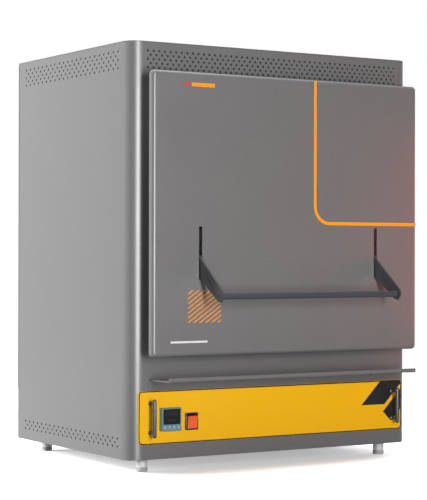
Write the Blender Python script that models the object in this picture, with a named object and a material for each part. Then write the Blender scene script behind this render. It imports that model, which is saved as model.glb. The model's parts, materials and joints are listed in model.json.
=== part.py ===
"""Laboratory chamber furnace: parallel-lift door, counterweighted levers, slide-out control drawer.

Metres, +Z up. The front faces -Y, X is centred and the floor is Z = 0. Shapes are written in cabinet
coordinates, whose Y = 0 is the cabinet's front plane; place() shifts them so that the whole depth,
from the pull bar to the rear fittings, is centred on the origin.
"""
from math import cos, pi, radians, sin, tan

import bmesh
import bpy
from mathutils import Vector
from mathutils.geometry import tessellate_polygon

# ---- clearances -------------------------------------------------------------------------------
GAP = 0.0003            # between pieces that touch
RUN = 0.0006            # between pieces that slide or turn on each other
FREE = 0.0020           # between pieces that pass each other

# ---- cabinet ----------------------------------------------------------------------------------
WIDTH = 0.720
DEPTH = 0.525
BODY_HEIGHT = 0.860
FOOT_HEIGHT = 0.028
CORNER = 0.032          # radius of the two upright front corners
SHEET = 0.0015          # casing sheet
FLANGE = 0.018          # inward return at the rear edge of each side
BOTTOM = FOOT_HEIGHT
TOP = FOOT_HEIGHT + BODY_HEIGHT
WALL_TOP = TOP - SHEET - GAP
FOOT_RADIUS = 0.0122
FOOT_PAD = 0.0090       # thickness of the pad under each foot
FOOT_INSET = (0.053, 0.040, 0.042)   # from the sides, the front and the rear
FOOT_STUD = 0.0040
FOOT_STUD_RISE = 0.012  # how far each stud stands up through the base plate
FOOT_GROOVE = 0.0015    # depth of the groove above the pad
BASE_SHEET = 0.0020
VENT_SLOT = (0.070, 0.005)           # width and height of each slot in the rear panel
VENT_PITCH = 0.014
VENT_ROWS = 7
VENT_X = 0.235                       # from the middle to the middle of each group of slots
VENT_DROP = 0.150                    # from the cabinet's top to the lowest slot

# ---- door -------------------------------------------------------------------------------------
DOOR_INSET = 0.022      # from each side of the cabinet to the door's edge
DOOR_LOW = 0.241
DOOR_HEIGHT = 0.583
DOOR_FRONT = -0.057     # front plane of the cover
COVER_DEPTH = 0.014     # depth of the pan-shaped cover
COVER_BEND = 0.008
COVER_CORNER = 0.009
SLOT_WIDTH = 0.008
BOX_SHEET = 0.0012
BOX_HEIGHT = 0.412
BOX_REAR = -0.0065
PLUG_GAP = 0.003        # between the plug and the throat all round
SEAL_WIDTH = 0.012
SEAL_OUT = 0.020        # from the throat's mouth to the middle of the seal

# ---- lifting linkage --------------------------------------------------------------------------
DOOR_PIVOT = (-0.032, 0.440)         # Y and Z of the pivot on the door
LIFT_ARM = 0.250
REST_ANGLE = radians(55.0)           # of the levers below the horizontal, door closed
SWING = radians(90.0)
LINK_DROP = 0.130                    # each link runs this far below its lever
HANDLE_ARM = 0.1268
HANDLE_ANGLE = radians(35.7)         # of the pull arms below the horizontal
COUNTER_ARM = 0.180
LEVER_ROOM = 0.0095                  # from the bracket plate to the lever
BOX_ROOM = 0.0165                    # from the door's sheet box to the lever
LEVER_THICK = 0.004
LEVER_HALF = 0.019
LEVER_TIP = 0.0135
LINK_THICK = 0.003
LINK_HALF = 0.011
BAR_RADIUS = 0.0068
MAIN_PIN = 0.0080
DOOR_PIN = 0.0060
BOLT = 0.00275
BRACKET = 0.0035                     # bracket plate thickness
BRACKET_HALF = 0.050                 # half the depth of each cabinet bracket
MAIN_SHOULDER = 0.014
DOOR_SHOULDER = 0.010
WEIGHT_STUD = 0.0080
WEIGHT_ROOM = 0.0334                 # from each counterweight to the cabinet's side
WEIGHT_SIDE = 0.100

# ---- chamber ----------------------------------------------------------------------------------
CHAMBER = 0.220         # inner width and height
CHAMBER_Z = 0.480       # centre height
THROAT_START = 0.002
THROAT_DEPTH = 0.045
THROAT_FLARE = 0.030
CHAMBER_DEPTH = 0.3275  # behind the throat
WALL_SIDE = 0.0972      # insulation thicknesses
WALL_FLOOR = 0.1860
WALL_ROOF = 0.0997
WALL_REAR = 0.0800
LINER_SHEET = 0.0012
HEARTH = 0.008
HEARTH_ROOM = (0.005, 0.003, 0.005)    # from the chamber's sides, its front and its rear
PARTITION = 0.0015

# ---- heating and measuring --------------------------------------------------------------------
ELEMENT_ROOM = 0.016                 # from each element to the chamber's side wall
ELEMENT_Y = (0.125, 0.255)           # middle of each dip
BEND = 0.030                         # radius of each dip's bottom bend
HOT_ROD = 0.0030
COLD_ROD = 0.0060
ELEMENT_RISE = 0.030                 # from the chamber's floor to the lowest bend
ELEMENT_HEAD = 0.0549                # how far it stands out of the roof block
PORT_DROP = 0.030                    # from the chamber's roof down to the probe and the exhaust
PROBE_RADIUS = 0.0040
PROBE_TIP = 0.020                    # how far it reaches into the chamber
PIPE_X = -0.060
PIPE_OUTER = 0.0150
PIPE_INNER = 0.0110
PIPE_OUT = 0.016

# ---- fan and mains inlet ----------------------------------------------------------------------
FAN_DROP = 0.098                     # from the cabinet's top to the fan's axis
FAN_SIZE = 0.120
FAN_DEPTH = 0.025
FAN_BORE = 0.056
FAN_HUB = 0.020
FAN_STRUT = 0.004
BLADES = 7
BLADE_PITCH = radians(38.0)
BLADE_CHORD = (0.012, 0.0195)        # at the hub and at the tip
BLADE_HALF = 0.0008                  # half a blade's thickness
GUARD = 0.003
GUARD_RADIUS = 0.060
GUARD_RINGS = ((0.016, 0.027), (0.030, 0.041), (0.044, 0.055))
INLET = (0.220, 0.110)
INLET_RADIUS = 0.022
INLET_OUT = 0.020
INLET_FLANGE = 0.056

# ---- control drawer ---------------------------------------------------------------------------
PANEL_INSET = 0.0215
PANEL_LOW = 0.059
PANEL_HEIGHT = 0.1105
PANEL_THICK = 0.0020
PANEL_CORNER = 0.009
PANEL_LAP = 0.0105      # the panel overlaps its opening by this much all round
TRAY_DEPTH = 0.400
TRAY_HEIGHT = 0.0705
TRANSFORMER = ((0.120, 0.200), (0.230, 0.320), 0.062)      # near corner, far corner, height
POWER_BOX = ((0.120, 0.040), (0.230, 0.150), 0.055)
SLIDE_DEPTH = 0.0092    # width of each fixed channel
SLIDE_FOOT = 0.010
BAR_WIDTH = 0.0100
SLIDE_HEIGHT = 0.045
SLIDE_SHEET = 0.0012
SLIDE_Z = 0.100
GRIP_INSET = 0.048                   # from each side of the cabinet to the grip's axis
GRIP_HALF = 0.040
GRIP_Z = 0.114
GRIP_RADIUS = 0.00425
GRIP_OUT = 0.020
STUD_PITCH = 0.060
STUD_RADIUS = 0.0025
METER_INSET = 0.095
METER_Z = 0.110
METER_BEZEL = 0.048
METER_BODY = 0.0448
METER_OUT = 0.010
METER_DEPTH = 0.085
WINDOW = (0.040, 0.031)
WINDOW_UP = 0.0053
WINDOW_THICK = 0.0016
BUTTON_PITCH = 0.0108
BUTTON_DOWN = 0.0160
BUTTON_RADIUS = 0.0025
BUTTON_OUT = 0.0010
BUTTON_TRAVEL = 0.0007
BUTTON_WELL = 0.004
SWITCH_INSET = 0.1475
SWITCH_Z = 0.103
SWITCH_FRAME = (0.031, 0.036)
SWITCH_HOLE = (0.0240, 0.0304)
SWITCH_DEPTH = 0.018
SWITCH_OUT = 0.0032
SWITCH_LAP = 0.0015     # the frame overlaps its cut-out by this much all round
ROCKER = (0.0228, 0.0260)
ROCKER_TILT = radians(7.0)
ROCKER_PIVOT = 0.004

# ---- shelf ------------------------------------------------------------------------------------
SHELF_INSET = 0.046
SHELF_REACH = 0.085
SHELF_Z = 0.193
SHELF_DROP = 0.017
SHELF_LIP = 0.007

# ---- values that follow -----------------------------------------------------------------------
HALF = WIDTH / 2
REAR = DEPTH - SHEET                 # inner face of the rear panel
LEVER_DIR = (cos(REST_ANGLE), sin(REST_ANGLE))
MAIN_PIVOT = (DOOR_PIVOT[0] + LIFT_ARM * LEVER_DIR[0], DOOR_PIVOT[1] + LIFT_ARM * LEVER_DIR[1])
LINK_PIVOT = (MAIN_PIVOT[0], MAIN_PIVOT[1] - LINK_DROP)
DOOR_LINK_PIVOT = (DOOR_PIVOT[0], DOOR_PIVOT[1] - LINK_DROP)
HANDLE = (DOOR_PIVOT[0] - HANDLE_ARM * cos(HANDLE_ANGLE), DOOR_PIVOT[1] - HANDLE_ARM * sin(HANDLE_ANGLE))
COUNTER = (MAIN_PIVOT[0] + COUNTER_ARM * LEVER_DIR[0], MAIN_PIVOT[1] + COUNTER_ARM * LEVER_DIR[1])
MOUTH = CHAMBER / 2 + THROAT_FLARE
APERTURE = MOUTH + FREE
CORE = CHAMBER / 2 + WALL_SIDE       # half width of the whole insulation
FLOOR_Z = CHAMBER_Z - CHAMBER / 2
ROOF_Z = CHAMBER_Z + CHAMBER / 2
CORE_LOW = FLOOR_Z - GAP - WALL_FLOOR
CORE_TOP = ROOF_Z + GAP + WALL_ROOF
CHAMBER_FRONT = THROAT_START + THROAT_DEPTH + GAP
CHAMBER_REAR = CHAMBER_FRONT + CHAMBER_DEPTH
LINER_OUT = CORE + GAP + LINER_SHEET
LINER_LOW = CORE_LOW - GAP - LINER_SHEET
LEVER_IN = LINER_OUT + GAP + BRACKET + LEVER_ROOM
LEVER_OUT = LEVER_IN + LEVER_THICK
LEVER_X = (LEVER_IN + LEVER_OUT) / 2
BOX_HALF = LEVER_IN - BOX_ROOM       # half the width of the sheet box behind the cover
ELEMENT_X = CHAMBER / 2 - ELEMENT_ROOM
ELEMENT_LOW = FLOOR_Z + ELEMENT_RISE
ELEMENT_TOP = CORE_TOP + ELEMENT_HEAD
PROBE = (0.0, ROOF_Z - PORT_DROP)
PIPE = (PIPE_X, ROOF_Z - PORT_DROP)
FAN = (0.0, TOP - FAN_DROP)
DOOR_WIDTH = WIDTH - 2 * DOOR_INSET
PANEL_WIDTH = WIDTH - 2 * PANEL_INSET
SHELF_WIDTH = WIDTH - 2 * SHELF_INSET
GRIP_X = HALF - GRIP_INSET
METER = (METER_INSET - HALF, METER_Z)
SWITCH = (SWITCH_INSET - HALF, SWITCH_Z)
WEIGHT_WIDTH = HALF - WEIGHT_ROOM - LEVER_OUT - RUN
BOX_FRONT = DOOR_FRONT + SHEET + GAP
PANEL_FRONT = -GAP - PANEL_THICK
OPENING_HALF = (PANEL_WIDTH / 2 - PANEL_LAP - FREE, PANEL_HEIGHT / 2 - PANEL_LAP + FREE)
PANEL_Z = PANEL_LOW + PANEL_HEIGHT / 2
SLIDE_OUT = OPENING_HALF[0] - GAP    # outer face of the fixed slide member
TRAY_LOW = PANEL_Z - OPENING_HALF[1] + FREE
FRONT_REACH = -HANDLE[0] + LEVER_TIP
REAR_REACH = DEPTH + INLET_OUT
FRONT_Y = (FRONT_REACH - REAR_REACH) / 2
ROUND = 20              # facets round a small turned piece
BIG_ROUND = 32

# ---- finishes: colour, roughness, metallic ----------------------------------------------------
FINISHES = {
    "body_paint": ((0.165, 0.163, 0.160), 0.45, 0.0),
    "dark_paint": ((0.050, 0.053, 0.058), 0.40, 0.0),
    "panel_paint": ((0.95, 0.45, 0.012), 0.35, 0.0),
    "galvanised": ((0.55, 0.56, 0.57), 0.45, 1.0),
    "bare_steel": ((0.60, 0.60, 0.60), 0.30, 1.0),
    "cast_iron": ((0.090, 0.092, 0.095), 0.60, 1.0),
    "fibre_board": ((0.85, 0.83, 0.78), 0.95, 0.0),
    "ceramic": ((0.75, 0.70, 0.62), 0.80, 0.0),
    "element": ((0.18, 0.17, 0.17), 0.55, 0.0),
    "black_plastic": ((0.012, 0.012, 0.014), 0.40, 0.0),
    "meter_plastic": ((0.150, 0.310, 0.380), 0.40, 0.0),
    "window_glass": ((0.006, 0.006, 0.008), 0.12, 0.0),
    "button_plastic": ((0.75, 0.76, 0.76), 0.40, 0.0),
    "orange_plastic": ((1.0, 0.145, 0.025), 0.30, 0.0),
}


def clear_scene():
    for item in list(bpy.data.objects):
        bpy.data.objects.remove(item, do_unlink=True)


# ---- outlines ---------------------------------------------------------------------------------
def arc(centre, radius, start, end, steps):
    """Points round an arc, both ends included; the angles are in degrees."""
    angles = [radians(start + (end - start) * i / steps) for i in range(steps + 1)]
    return [(centre[0] + radius * cos(a), centre[1] + radius * sin(a)) for a in angles]


def circle(centre, radius, steps=ROUND):
    return arc(centre, radius, 0, 360, steps)[:-1]


def rectangle(centre, width, height):
    return [(centre[0] + i * width / 2, centre[1] + j * height / 2)
            for i, j in ((-1, -1), (1, -1), (1, 1), (-1, 1))]


def rounded(centre, width, height, radius, steps=4):
    loop = []
    for i, j, start in ((1, -1, 270), (1, 1, 0), (-1, 1, 90), (-1, -1, 180)):
        corner = (centre[0] + i * (width / 2 - radius), centre[1] + j * (height / 2 - radius))
        loop += arc(corner, radius, start, start + 90, steps)
    return loop


def plan(inset, rear, steps=6):
    """The cabinet seen from above, drawn inside its outer face, with its two round front corners."""
    radius = CORNER - inset
    left = arc((-HALF + CORNER, CORNER), radius, 180, 270, steps)
    right = arc((HALF - CORNER, CORNER), radius, 270, 360, steps)
    return left + right + [(HALF - inset, rear), (-HALF + inset, rear)]


def strip(points, halves, steps=8):
    """A flat bar along a line of points with round ends; halves gives half its width at each point."""
    line = [Vector(p) for p in points]
    runs = [(b - a).normalized() for a, b in zip(line, line[1:])]
    turns = [runs[0]] + [(a + b).normalized() for a, b in zip(runs, runs[1:])] + [runs[-1]]
    sides = [Vector((-t.y, t.x)) for t in turns]
    left = [tuple(p + n * w) for p, n, w in zip(line, sides, halves)]
    right = [tuple(p - n * w) for p, n, w in zip(line, sides, halves)]
    ahead = Vector((1, 0)).angle_signed(runs[-1])
    behind = Vector((1, 0)).angle_signed(runs[0])
    far_end = arc(points[-1], halves[-1], 90 - ahead * 180 / pi, -90 - ahead * 180 / pi, steps)
    near_end = arc(points[0], halves[0], 270 - behind * 180 / pi, 90 - behind * 180 / pi, steps)
    return left[:-1][1:] + far_end + right[::-1][1:-1] + near_end


# ---- solids -----------------------------------------------------------------------------------
def lift(loop, plane, level):
    """Puts a flat loop into space, in the named plane and at the level given."""
    spots = {"XY": lambda u, v: (u, v, level),
             "XZ": lambda u, v: (u, level, v),
             "YZ": lambda u, v: (level, u, v)}
    return [spots[plane](u, v) for u, v in loop]


def close_end(bm, outline, holes):
    loops = [outline] + holes
    verts = [v for loop in loops for v in loop]
    for a, b, c in tessellate_polygon([[v.co for v in loop] for loop in loops]):
        bm.faces.new((verts[a], verts[b], verts[c]))


def solid(rings, holes=()):
    """One closed body through a row of rings; each hole is a pair of loops, on the first and last ring."""
    bm = bmesh.new()
    bands = [[bm.verts.new(p) for p in ring] for ring in rings]
    pits = [([bm.verts.new(p) for p in first], [bm.verts.new(p) for p in last]) for first, last in holes]
    for lower, upper in list(zip(bands, bands[1:])) + pits:
        for i, vert in enumerate(lower):
            j = (i + 1) % len(lower)
            bm.faces.new((vert, lower[j], upper[j], upper[i]))
    close_end(bm, bands[0], [first for first, _ in pits])
    close_end(bm, bands[-1], [last for _, last in pits])
    bmesh.ops.recalc_face_normals(bm, faces=bm.faces)
    return bm


def prism(plane, outline, low, high, holes=()):
    pairs = [(lift(hole, plane, low), lift(hole, plane, high)) for hole in holes]
    return solid([lift(outline, plane, low), lift(outline, plane, high)], pairs)


def block(low, high):
    middle = ((low[0] + high[0]) / 2, (low[1] + high[1]) / 2)
    return prism("XY", rectangle(middle, high[0] - low[0], high[1] - low[1]), low[2], high[2])


def turned(axis, centre, profile, steps=ROUND, ring=False):
    """A body of revolution; profile gives (radius, distance along the axis) from end to end."""
    bm = bmesh.new()
    others = {"X": (1, 2, 0), "Y": (2, 0, 1), "Z": (0, 1, 2)}[axis]
    bands = []
    for radius, along in profile:
        count = steps if radius > 0 else 1
        band = []
        for i in range(count):
            point = [0.0, 0.0, 0.0]
            point[others[0]] = radius * cos(2 * pi * i / steps)
            point[others[1]] = radius * sin(2 * pi * i / steps)
            point[others[2]] = along
            band.append(bm.verts.new(Vector(point) + Vector(centre)))
        bands.append(band)
    pairs = list(zip(bands, bands[1:])) + ([(bands[-1], bands[0])] if ring else [])
    for lower, upper in pairs:
        for i in range(steps):
            j = (i + 1) % steps
            below = [lower[i % len(lower)], lower[j % len(lower)]]
            corners = below + [upper[j % len(upper)], upper[i % len(upper)]]
            bm.faces.new(list(dict.fromkeys(corners)))
    bmesh.ops.recalc_face_normals(bm, faces=bm.faces)
    return bm


def washer(axis, centre, inner, outer, low, high, steps=ROUND):
    return turned(axis, centre, [(inner, low), (outer, low), (outer, high), (inner, high)], steps, ring=True)


def rod(axis, centre, radius, low, high, steps=ROUND):
    return turned(axis, centre, [(0, low), (radius, low), (radius, high), (0, high)], steps)


def tube(points, radii, steps=8):
    """A round bar along points that lie in one plane of constant X."""
    rings = []
    for i, point in enumerate(points):
        before = Vector(points[max(i - 1, 0)])
        after = Vector(points[min(i + 1, len(points) - 1)])
        along = (after - before).normalized()
        side = Vector((1, 0, 0))
        up = along.cross(side)
        turns = [2 * pi * k / steps for k in range(steps)]
        rings.append([Vector(point) + radii[i] * (cos(a) * side + sin(a) * up) for a in turns])
    return solid(rings)


def merge(parts):
    """Gathers several bodies into one mesh, for a helper that cuts or is welded on."""
    whole = bmesh.new()
    for part in parts:
        mesh = bpy.data.meshes.new("gather")
        part.to_mesh(mesh)
        part.free()
        whole.from_mesh(mesh)
        bpy.data.meshes.remove(mesh)
    return whole


def mirrored(part):
    copy = part.copy()
    for vert in copy.verts:
        vert.co.x = -vert.co.x
    bmesh.ops.reverse_faces(copy, faces=copy.faces)
    return copy


# ---- objects ----------------------------------------------------------------------------------
def paint(name, finish):
    colour, roughness, metallic = FINISHES[finish]
    material = bpy.data.materials.new(name)
    material.use_nodes = True
    shader = material.node_tree.nodes["Principled BSDF"]
    shader.inputs["Base Color"].default_value = (*colour, 1.0)
    shader.inputs["Roughness"].default_value = roughness
    shader.inputs["Metallic"].default_value = metallic
    return material


def place(name, bm, finish, pivot=None, rides=None):
    """Makes the object; its origin is the pivot given, or the middle of its own box."""
    spots = [v.co for v in bm.verts]
    low = Vector([min(p[i] for p in spots) for i in range(3)])
    high = Vector([max(p[i] for p in spots) for i in range(3)])
    origin = Vector(pivot) if pivot else (low + high) / 2
    for vert in bm.verts:
        vert.co -= origin
    mesh = bpy.data.meshes.new(name)
    bm.to_mesh(mesh)
    bm.free()
    mesh.shade_smooth()
    mesh.set_sharp_from_angle(angle=radians(35))
    item = bpy.data.objects.new(name, mesh)
    bpy.context.collection.objects.link(item)
    item.location = origin + Vector((0, FRONT_Y, 0))
    if finish:
        mesh.materials.append(paint(name, finish))
    if rides:
        item.parent = rides
        item.location -= rides.location
    return item


def pair(name, right, finish, pivot=None, rides=None):
    """Places a piece on the right and its mirror image on the left."""
    left = mirrored(right)
    sides = (("left", left), ("right", right))
    return [place(f"{name}_{side}", bm, finish, pivot, rides) for side, bm in sides]


def axis_point(name, spot):
    """An empty on a joint's axis, which carries the pieces that move together."""
    empty = bpy.data.objects.new(name, None)
    bpy.context.collection.objects.link(empty)
    empty.location = Vector(spot) + Vector((0, FRONT_Y, 0))
    return empty


def combine(item, bm, operation):
    """Cuts a shape out of an object, or welds it on, with a hidden helper."""
    helper = place(f"{item.name}_{operation.lower()}_{len(item.modifiers)}", bm, None)
    helper.hide_render = True
    helper.display_type = "WIRE"
    change = item.modifiers.new(operation.lower(), "BOOLEAN")
    change.operation = operation
    change.object = helper
    change.solver = "EXACT"


# ---- casing -----------------------------------------------------------------------------------
def swing_span(pivot, half):
    """Lowest and highest Z where a lever or link on this pivot crosses the cabinet's front plane."""
    end = SWING - REST_ANGLE
    low = pivot[1] - pivot[0] * tan(REST_ANGLE) - half / cos(REST_ANGLE)
    high = pivot[1] + pivot[0] * tan(end) + half / cos(end)
    return low, high


def make_front_panel():
    outer = plan(0, CORNER)[:-2]
    inner = plan(SHEET, CORNER)[:-2]
    item = place("front_panel", prism("XY", outer + inner[::-1], BOTTOM, WALL_TOP), "body_paint")
    through = (-FREE, SHEET + FREE)
    mouth = prism("XZ", rectangle((0, CHAMBER_Z), 2 * APERTURE, 2 * APERTURE), *through)
    bay = prism("XZ", rectangle((0, PANEL_Z), 2 * OPENING_HALF[0], 2 * OPENING_HALF[1]), *through)
    low = swing_span(LINK_PIVOT, LINK_HALF)[0] - 2 * FREE
    high = swing_span(MAIN_PIVOT, LEVER_HALF)[1] + 2 * FREE
    slot_width = 2 * (LEVER_THICK + 2 * FREE)
    slot = prism("XZ", rectangle((LEVER_X, (low + high) / 2), slot_width, high - low), *through)
    combine(item, merge([mouth, bay, slot.copy(), mirrored(slot)]), "DIFFERENCE")


def make_side_panels():
    start = CORNER + GAP
    end = REAR - GAP
    wall = [(HALF - SHEET, start), (HALF, start), (HALF, end), (HALF - FLANGE, end),
            (HALF - FLANGE, end - SHEET), (HALF - SHEET, end - SHEET)]
    pair("side_panel", prism("XY", wall, BOTTOM, WALL_TOP), "body_paint")


def vent_slots():
    lowest = TOP - VENT_DROP
    middles = [(side * VENT_X, lowest + i * VENT_PITCH) for side in (-1, 1) for i in range(VENT_ROWS)]
    return [rectangle(middle, *VENT_SLOT) for middle in middles]


def make_rear_and_covers():
    holes = [circle(FAN, FAN_BORE, BIG_ROUND), circle(PIPE, PIPE_OUTER + GAP), circle(INLET, INLET_RADIUS)]
    holes += vent_slots()
    face = rectangle((0, (BOTTOM + WALL_TOP) / 2), WIDTH, WALL_TOP - BOTTOM)
    place("rear_panel", prism("XZ", face, REAR, DEPTH, holes), "body_paint")
    place("top_cover", prism("XY", plan(0, DEPTH), TOP - SHEET, TOP), "body_paint")
    inside = plan(SHEET + GAP, REAR - SHEET - 2 * GAP)
    studs = [circle(spot, FOOT_STUD + GAP, 12) for spot in foot_spots()]
    place("base_plate", prism("XY", inside, BOTTOM, BOTTOM + BASE_SHEET, studs), "galvanised")
    low = LINER_LOW - GAP - PARTITION
    place("partition_plate", prism("XY", inside, low, low + PARTITION), "galvanised")


def foot_spots():
    across = HALF - FOOT_INSET[0]
    return [(side * across, y) for side in (-1, 1) for y in (FOOT_INSET[1], DEPTH - FOOT_INSET[2])]


def make_feet():
    """Turned feet: a pad at the bottom, a plain shank and a stud up through the base plate."""
    groove = FOOT_RADIUS - FOOT_GROOVE
    ledge = FOOT_PAD + 0.0008
    stud_top = BOTTOM + FOOT_STUD_RISE
    profile = [(0, 0), (FOOT_RADIUS - 0.001, 0), (FOOT_RADIUS, 0.001), (FOOT_RADIUS, FOOT_PAD),
               (groove, FOOT_PAD), (groove, ledge), (FOOT_RADIUS, ledge), (FOOT_RADIUS, BOTTOM - GAP),
               (FOOT_STUD, BOTTOM - GAP), (FOOT_STUD, stud_top), (0, stud_top)]
    names = ("foot_front_left", "foot_rear_left", "foot_front_right", "foot_rear_right")
    for name, spot in zip(names, foot_spots()):
        place(name, turned("Z", (*spot, 0), profile), "bare_steel")


def make_shelf():
    back = -GAP
    front = -SHELF_REACH
    low = SHELF_Z - SHEET
    outline = [(back, SHELF_Z - SHELF_DROP), (back, SHELF_Z), (front + SHEET, SHELF_Z),
               (front + SHEET, SHELF_Z + SHELF_LIP), (front, SHELF_Z + SHELF_LIP), (front, low),
               (back - SHEET, low), (back - SHEET, SHELF_Z - SHELF_DROP)]
    place("shelf", prism("YZ", outline, -SHELF_WIDTH / 2, SHELF_WIDTH / 2), "body_paint")


# ---- chamber ----------------------------------------------------------------------------------
def element_spots():
    """Where each element's two cold ends pass through the roof: sideways place and Y."""
    return [(side * ELEMENT_X, y) for side in (-1, 1) for y in (ELEMENT_Y[0] - BEND, ELEMENT_Y[1] + BEND)]


def make_insulation():
    rear = CHAMBER_REAR
    place("insulation_floor", block((-CORE, CHAMBER_FRONT, CORE_LOW), (CORE, rear - GAP, FLOOR_Z - GAP)),
          "fibre_board")
    side = block((CHAMBER / 2, CHAMBER_FRONT, FLOOR_Z), (CORE, rear - GAP, ROOF_Z))
    pair("insulation", side, "fibre_board")
    roof = rectangle((0, (CHAMBER_FRONT + rear - GAP) / 2), 2 * CORE, rear - GAP - CHAMBER_FRONT)
    holes = [circle(spot, COLD_ROD + 0.0015, 10) for spot in element_spots()]
    place("insulation_roof", prism("XY", roof, ROOF_Z + GAP, CORE_TOP, holes), "fibre_board")
    back = rectangle((0, (CORE_LOW + CORE_TOP) / 2), 2 * CORE, CORE_TOP - CORE_LOW)
    holes = [circle(PROBE, PROBE_RADIUS + 2 * GAP, 12), circle(PIPE, PIPE_OUTER + GAP)]
    place("insulation_rear", prism("XZ", back, rear, rear + WALL_REAR, holes), "fibre_board")


def square(half):
    return rectangle((0, CHAMBER_Z), 2 * half, 2 * half)


def make_throat():
    start = THROAT_START
    flare_end = start + THROAT_FLARE
    end = start + THROAT_DEPTH
    face = rectangle((0, (CORE_LOW + CORE_TOP) / 2), 2 * CORE, CORE_TOP - CORE_LOW)
    item = place("throat_frame", prism("XZ", face, start, end), "ceramic")
    reach = FREE
    rings = [(start - reach, MOUTH + reach), (flare_end, CHAMBER / 2), (end + reach, CHAMBER / 2)]
    combine(item, solid([lift(square(half), "XZ", y) for y, half in rings]), "DIFFERENCE")


def make_liner_and_hearth():
    inner = CORE + GAP
    walls = [(-LINER_OUT, LINER_LOW), (LINER_OUT, LINER_LOW), (LINER_OUT, CORE_TOP), (inner, CORE_TOP),
             (inner, CORE_LOW - GAP), (-inner, CORE_LOW - GAP), (-inner, CORE_TOP), (-LINER_OUT, CORE_TOP)]
    place("chamber_casing", prism("XZ", walls, THROAT_START, CHAMBER_REAR + WALL_REAR), "galvanised")
    low = (-CHAMBER / 2 + HEARTH_ROOM[0], CHAMBER_FRONT + HEARTH_ROOM[1], FLOOR_Z)
    high = (CHAMBER / 2 - HEARTH_ROOM[0], CHAMBER_REAR - HEARTH_ROOM[2], FLOOR_Z + HEARTH)
    place("hearth_plate", block(low, high), "ceramic")


def make_heating():
    """Hanging elements: thick cold ends in the roof, and a thin bar that dips twice along the chamber."""
    neck = ROOF_Z - 0.008
    front, rear = ELEMENT_Y
    bridge = ROOF_Z - 0.015 - (rear - front - 2 * BEND) / 2
    dips = [arc((y, ELEMENT_LOW + BEND), BEND, 180, 360, 8) for y in (front, rear)]
    rise = arc(((front + rear) / 2, bridge), (rear - front) / 2 - BEND, 180, 0, 8)
    down = [(front - BEND, ELEMENT_TOP), (front - BEND, neck), (front - BEND, neck - 0.006)]
    up = [(rear + BEND, z) for _, z in down[::-1]]
    route = [(ELEMENT_X, y, z) for y, z in down + dips[0] + rise + dips[1] + up]
    radii = [COLD_ROD, COLD_ROD] + [HOT_ROD] * (len(route) - 4) + [COLD_ROD, COLD_ROD]
    pair("heating_element", tube(route, radii), "element")


def make_probe_and_pipe():
    tip = CHAMBER_REAR - PROBE_TIP
    seat = CHAMBER_REAR + WALL_REAR + GAP
    profile = [(0, tip), (PROBE_RADIUS, tip + 0.002), (PROBE_RADIUS, seat), (0.016, seat),
               (0.016, seat + 0.006), (0.021, seat + 0.006), (0.021, seat + 0.030), (0, seat + 0.030)]
    place("thermocouple", turned("Y", (PROBE[0], 0, PROBE[1]), profile, 16), "bare_steel")
    end = DEPTH + PIPE_OUT
    pipe = washer("Y", (PIPE[0], 0, PIPE[1]), PIPE_INNER, PIPE_OUTER, CHAMBER_REAR + GAP, end)
    place("exhaust_tube", pipe, "ceramic")


# ---- fan and inlet ----------------------------------------------------------------------------
def sectors(inner, outer, half_bar):
    """Four ring-shaped windows round the fan's axis, with a bar between each two."""
    windows = []
    for k in range(4):
        start, end = 45 + 90 * k, 135 + 90 * k
        wide, narrow = half_bar / outer * 180 / pi, half_bar / inner * 180 / pi
        outside = arc(FAN, outer, start + wide, end - wide, 6)
        windows.append(outside + arc(FAN, inner, end - narrow, start + narrow, 6))
    return windows


def make_fan():
    end = REAR - GAP
    start = end - FAN_DEPTH
    frame = rounded(FAN, FAN_SIZE, FAN_SIZE, 0.008)
    bore = circle(FAN, FAN_BORE, BIG_ROUND)
    item = place("fan_frame", prism("XZ", frame, start, end, [bore]), "black_plastic")
    windows = sectors(FAN_HUB - 0.002, FAN_BORE - 0.003, 0.003)
    spider = circle(FAN, FAN_BORE + 0.002, BIG_ROUND)
    combine(item, prism("XZ", spider, start + 0.0005, start + FAN_STRUT, windows), "UNION")
    axle = axis_point("fan_axis", (FAN[0], (start + end) / 2, FAN[1]))
    make_impeller(axle, start + FAN_STRUT + FREE / 2, end - FREE)


def make_impeller(axle, front, back):
    """Hub and seven pitched blades; each blade's root is sunk in the hub before they are welded."""
    hub = rod("Y", (FAN[0], 0, FAN[1]), FAN_HUB, front, back)
    item = place("fan_impeller", hub, "black_plastic", (FAN[0], (front + back) / 2, FAN[1]), axle)
    middle = (front + back) / 2
    blades = []
    for i in range(BLADES):
        turn = 2 * pi * i / BLADES
        across = Vector((-sin(turn), 0, cos(turn)))
        out = Vector((cos(turn), 0, sin(turn)))
        rings = []
        for radius, chord in zip((FAN_HUB - 0.003, FAN_BORE - FREE), BLADE_CHORD):
            lean = Vector((0, sin(BLADE_PITCH), 0)) + across * cos(BLADE_PITCH)
            thick = (Vector((0, cos(BLADE_PITCH), 0)) - across * sin(BLADE_PITCH)) * BLADE_HALF
            centre = Vector((FAN[0], middle, FAN[1])) + out * radius
            ends = (centre - lean * chord / 2, centre + lean * chord / 2)
            rings.append([ends[0] - thick, ends[1] - thick, ends[1] + thick, ends[0] + thick])
        blades.append(solid(rings))
    combine(item, merge(blades), "UNION")


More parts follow.
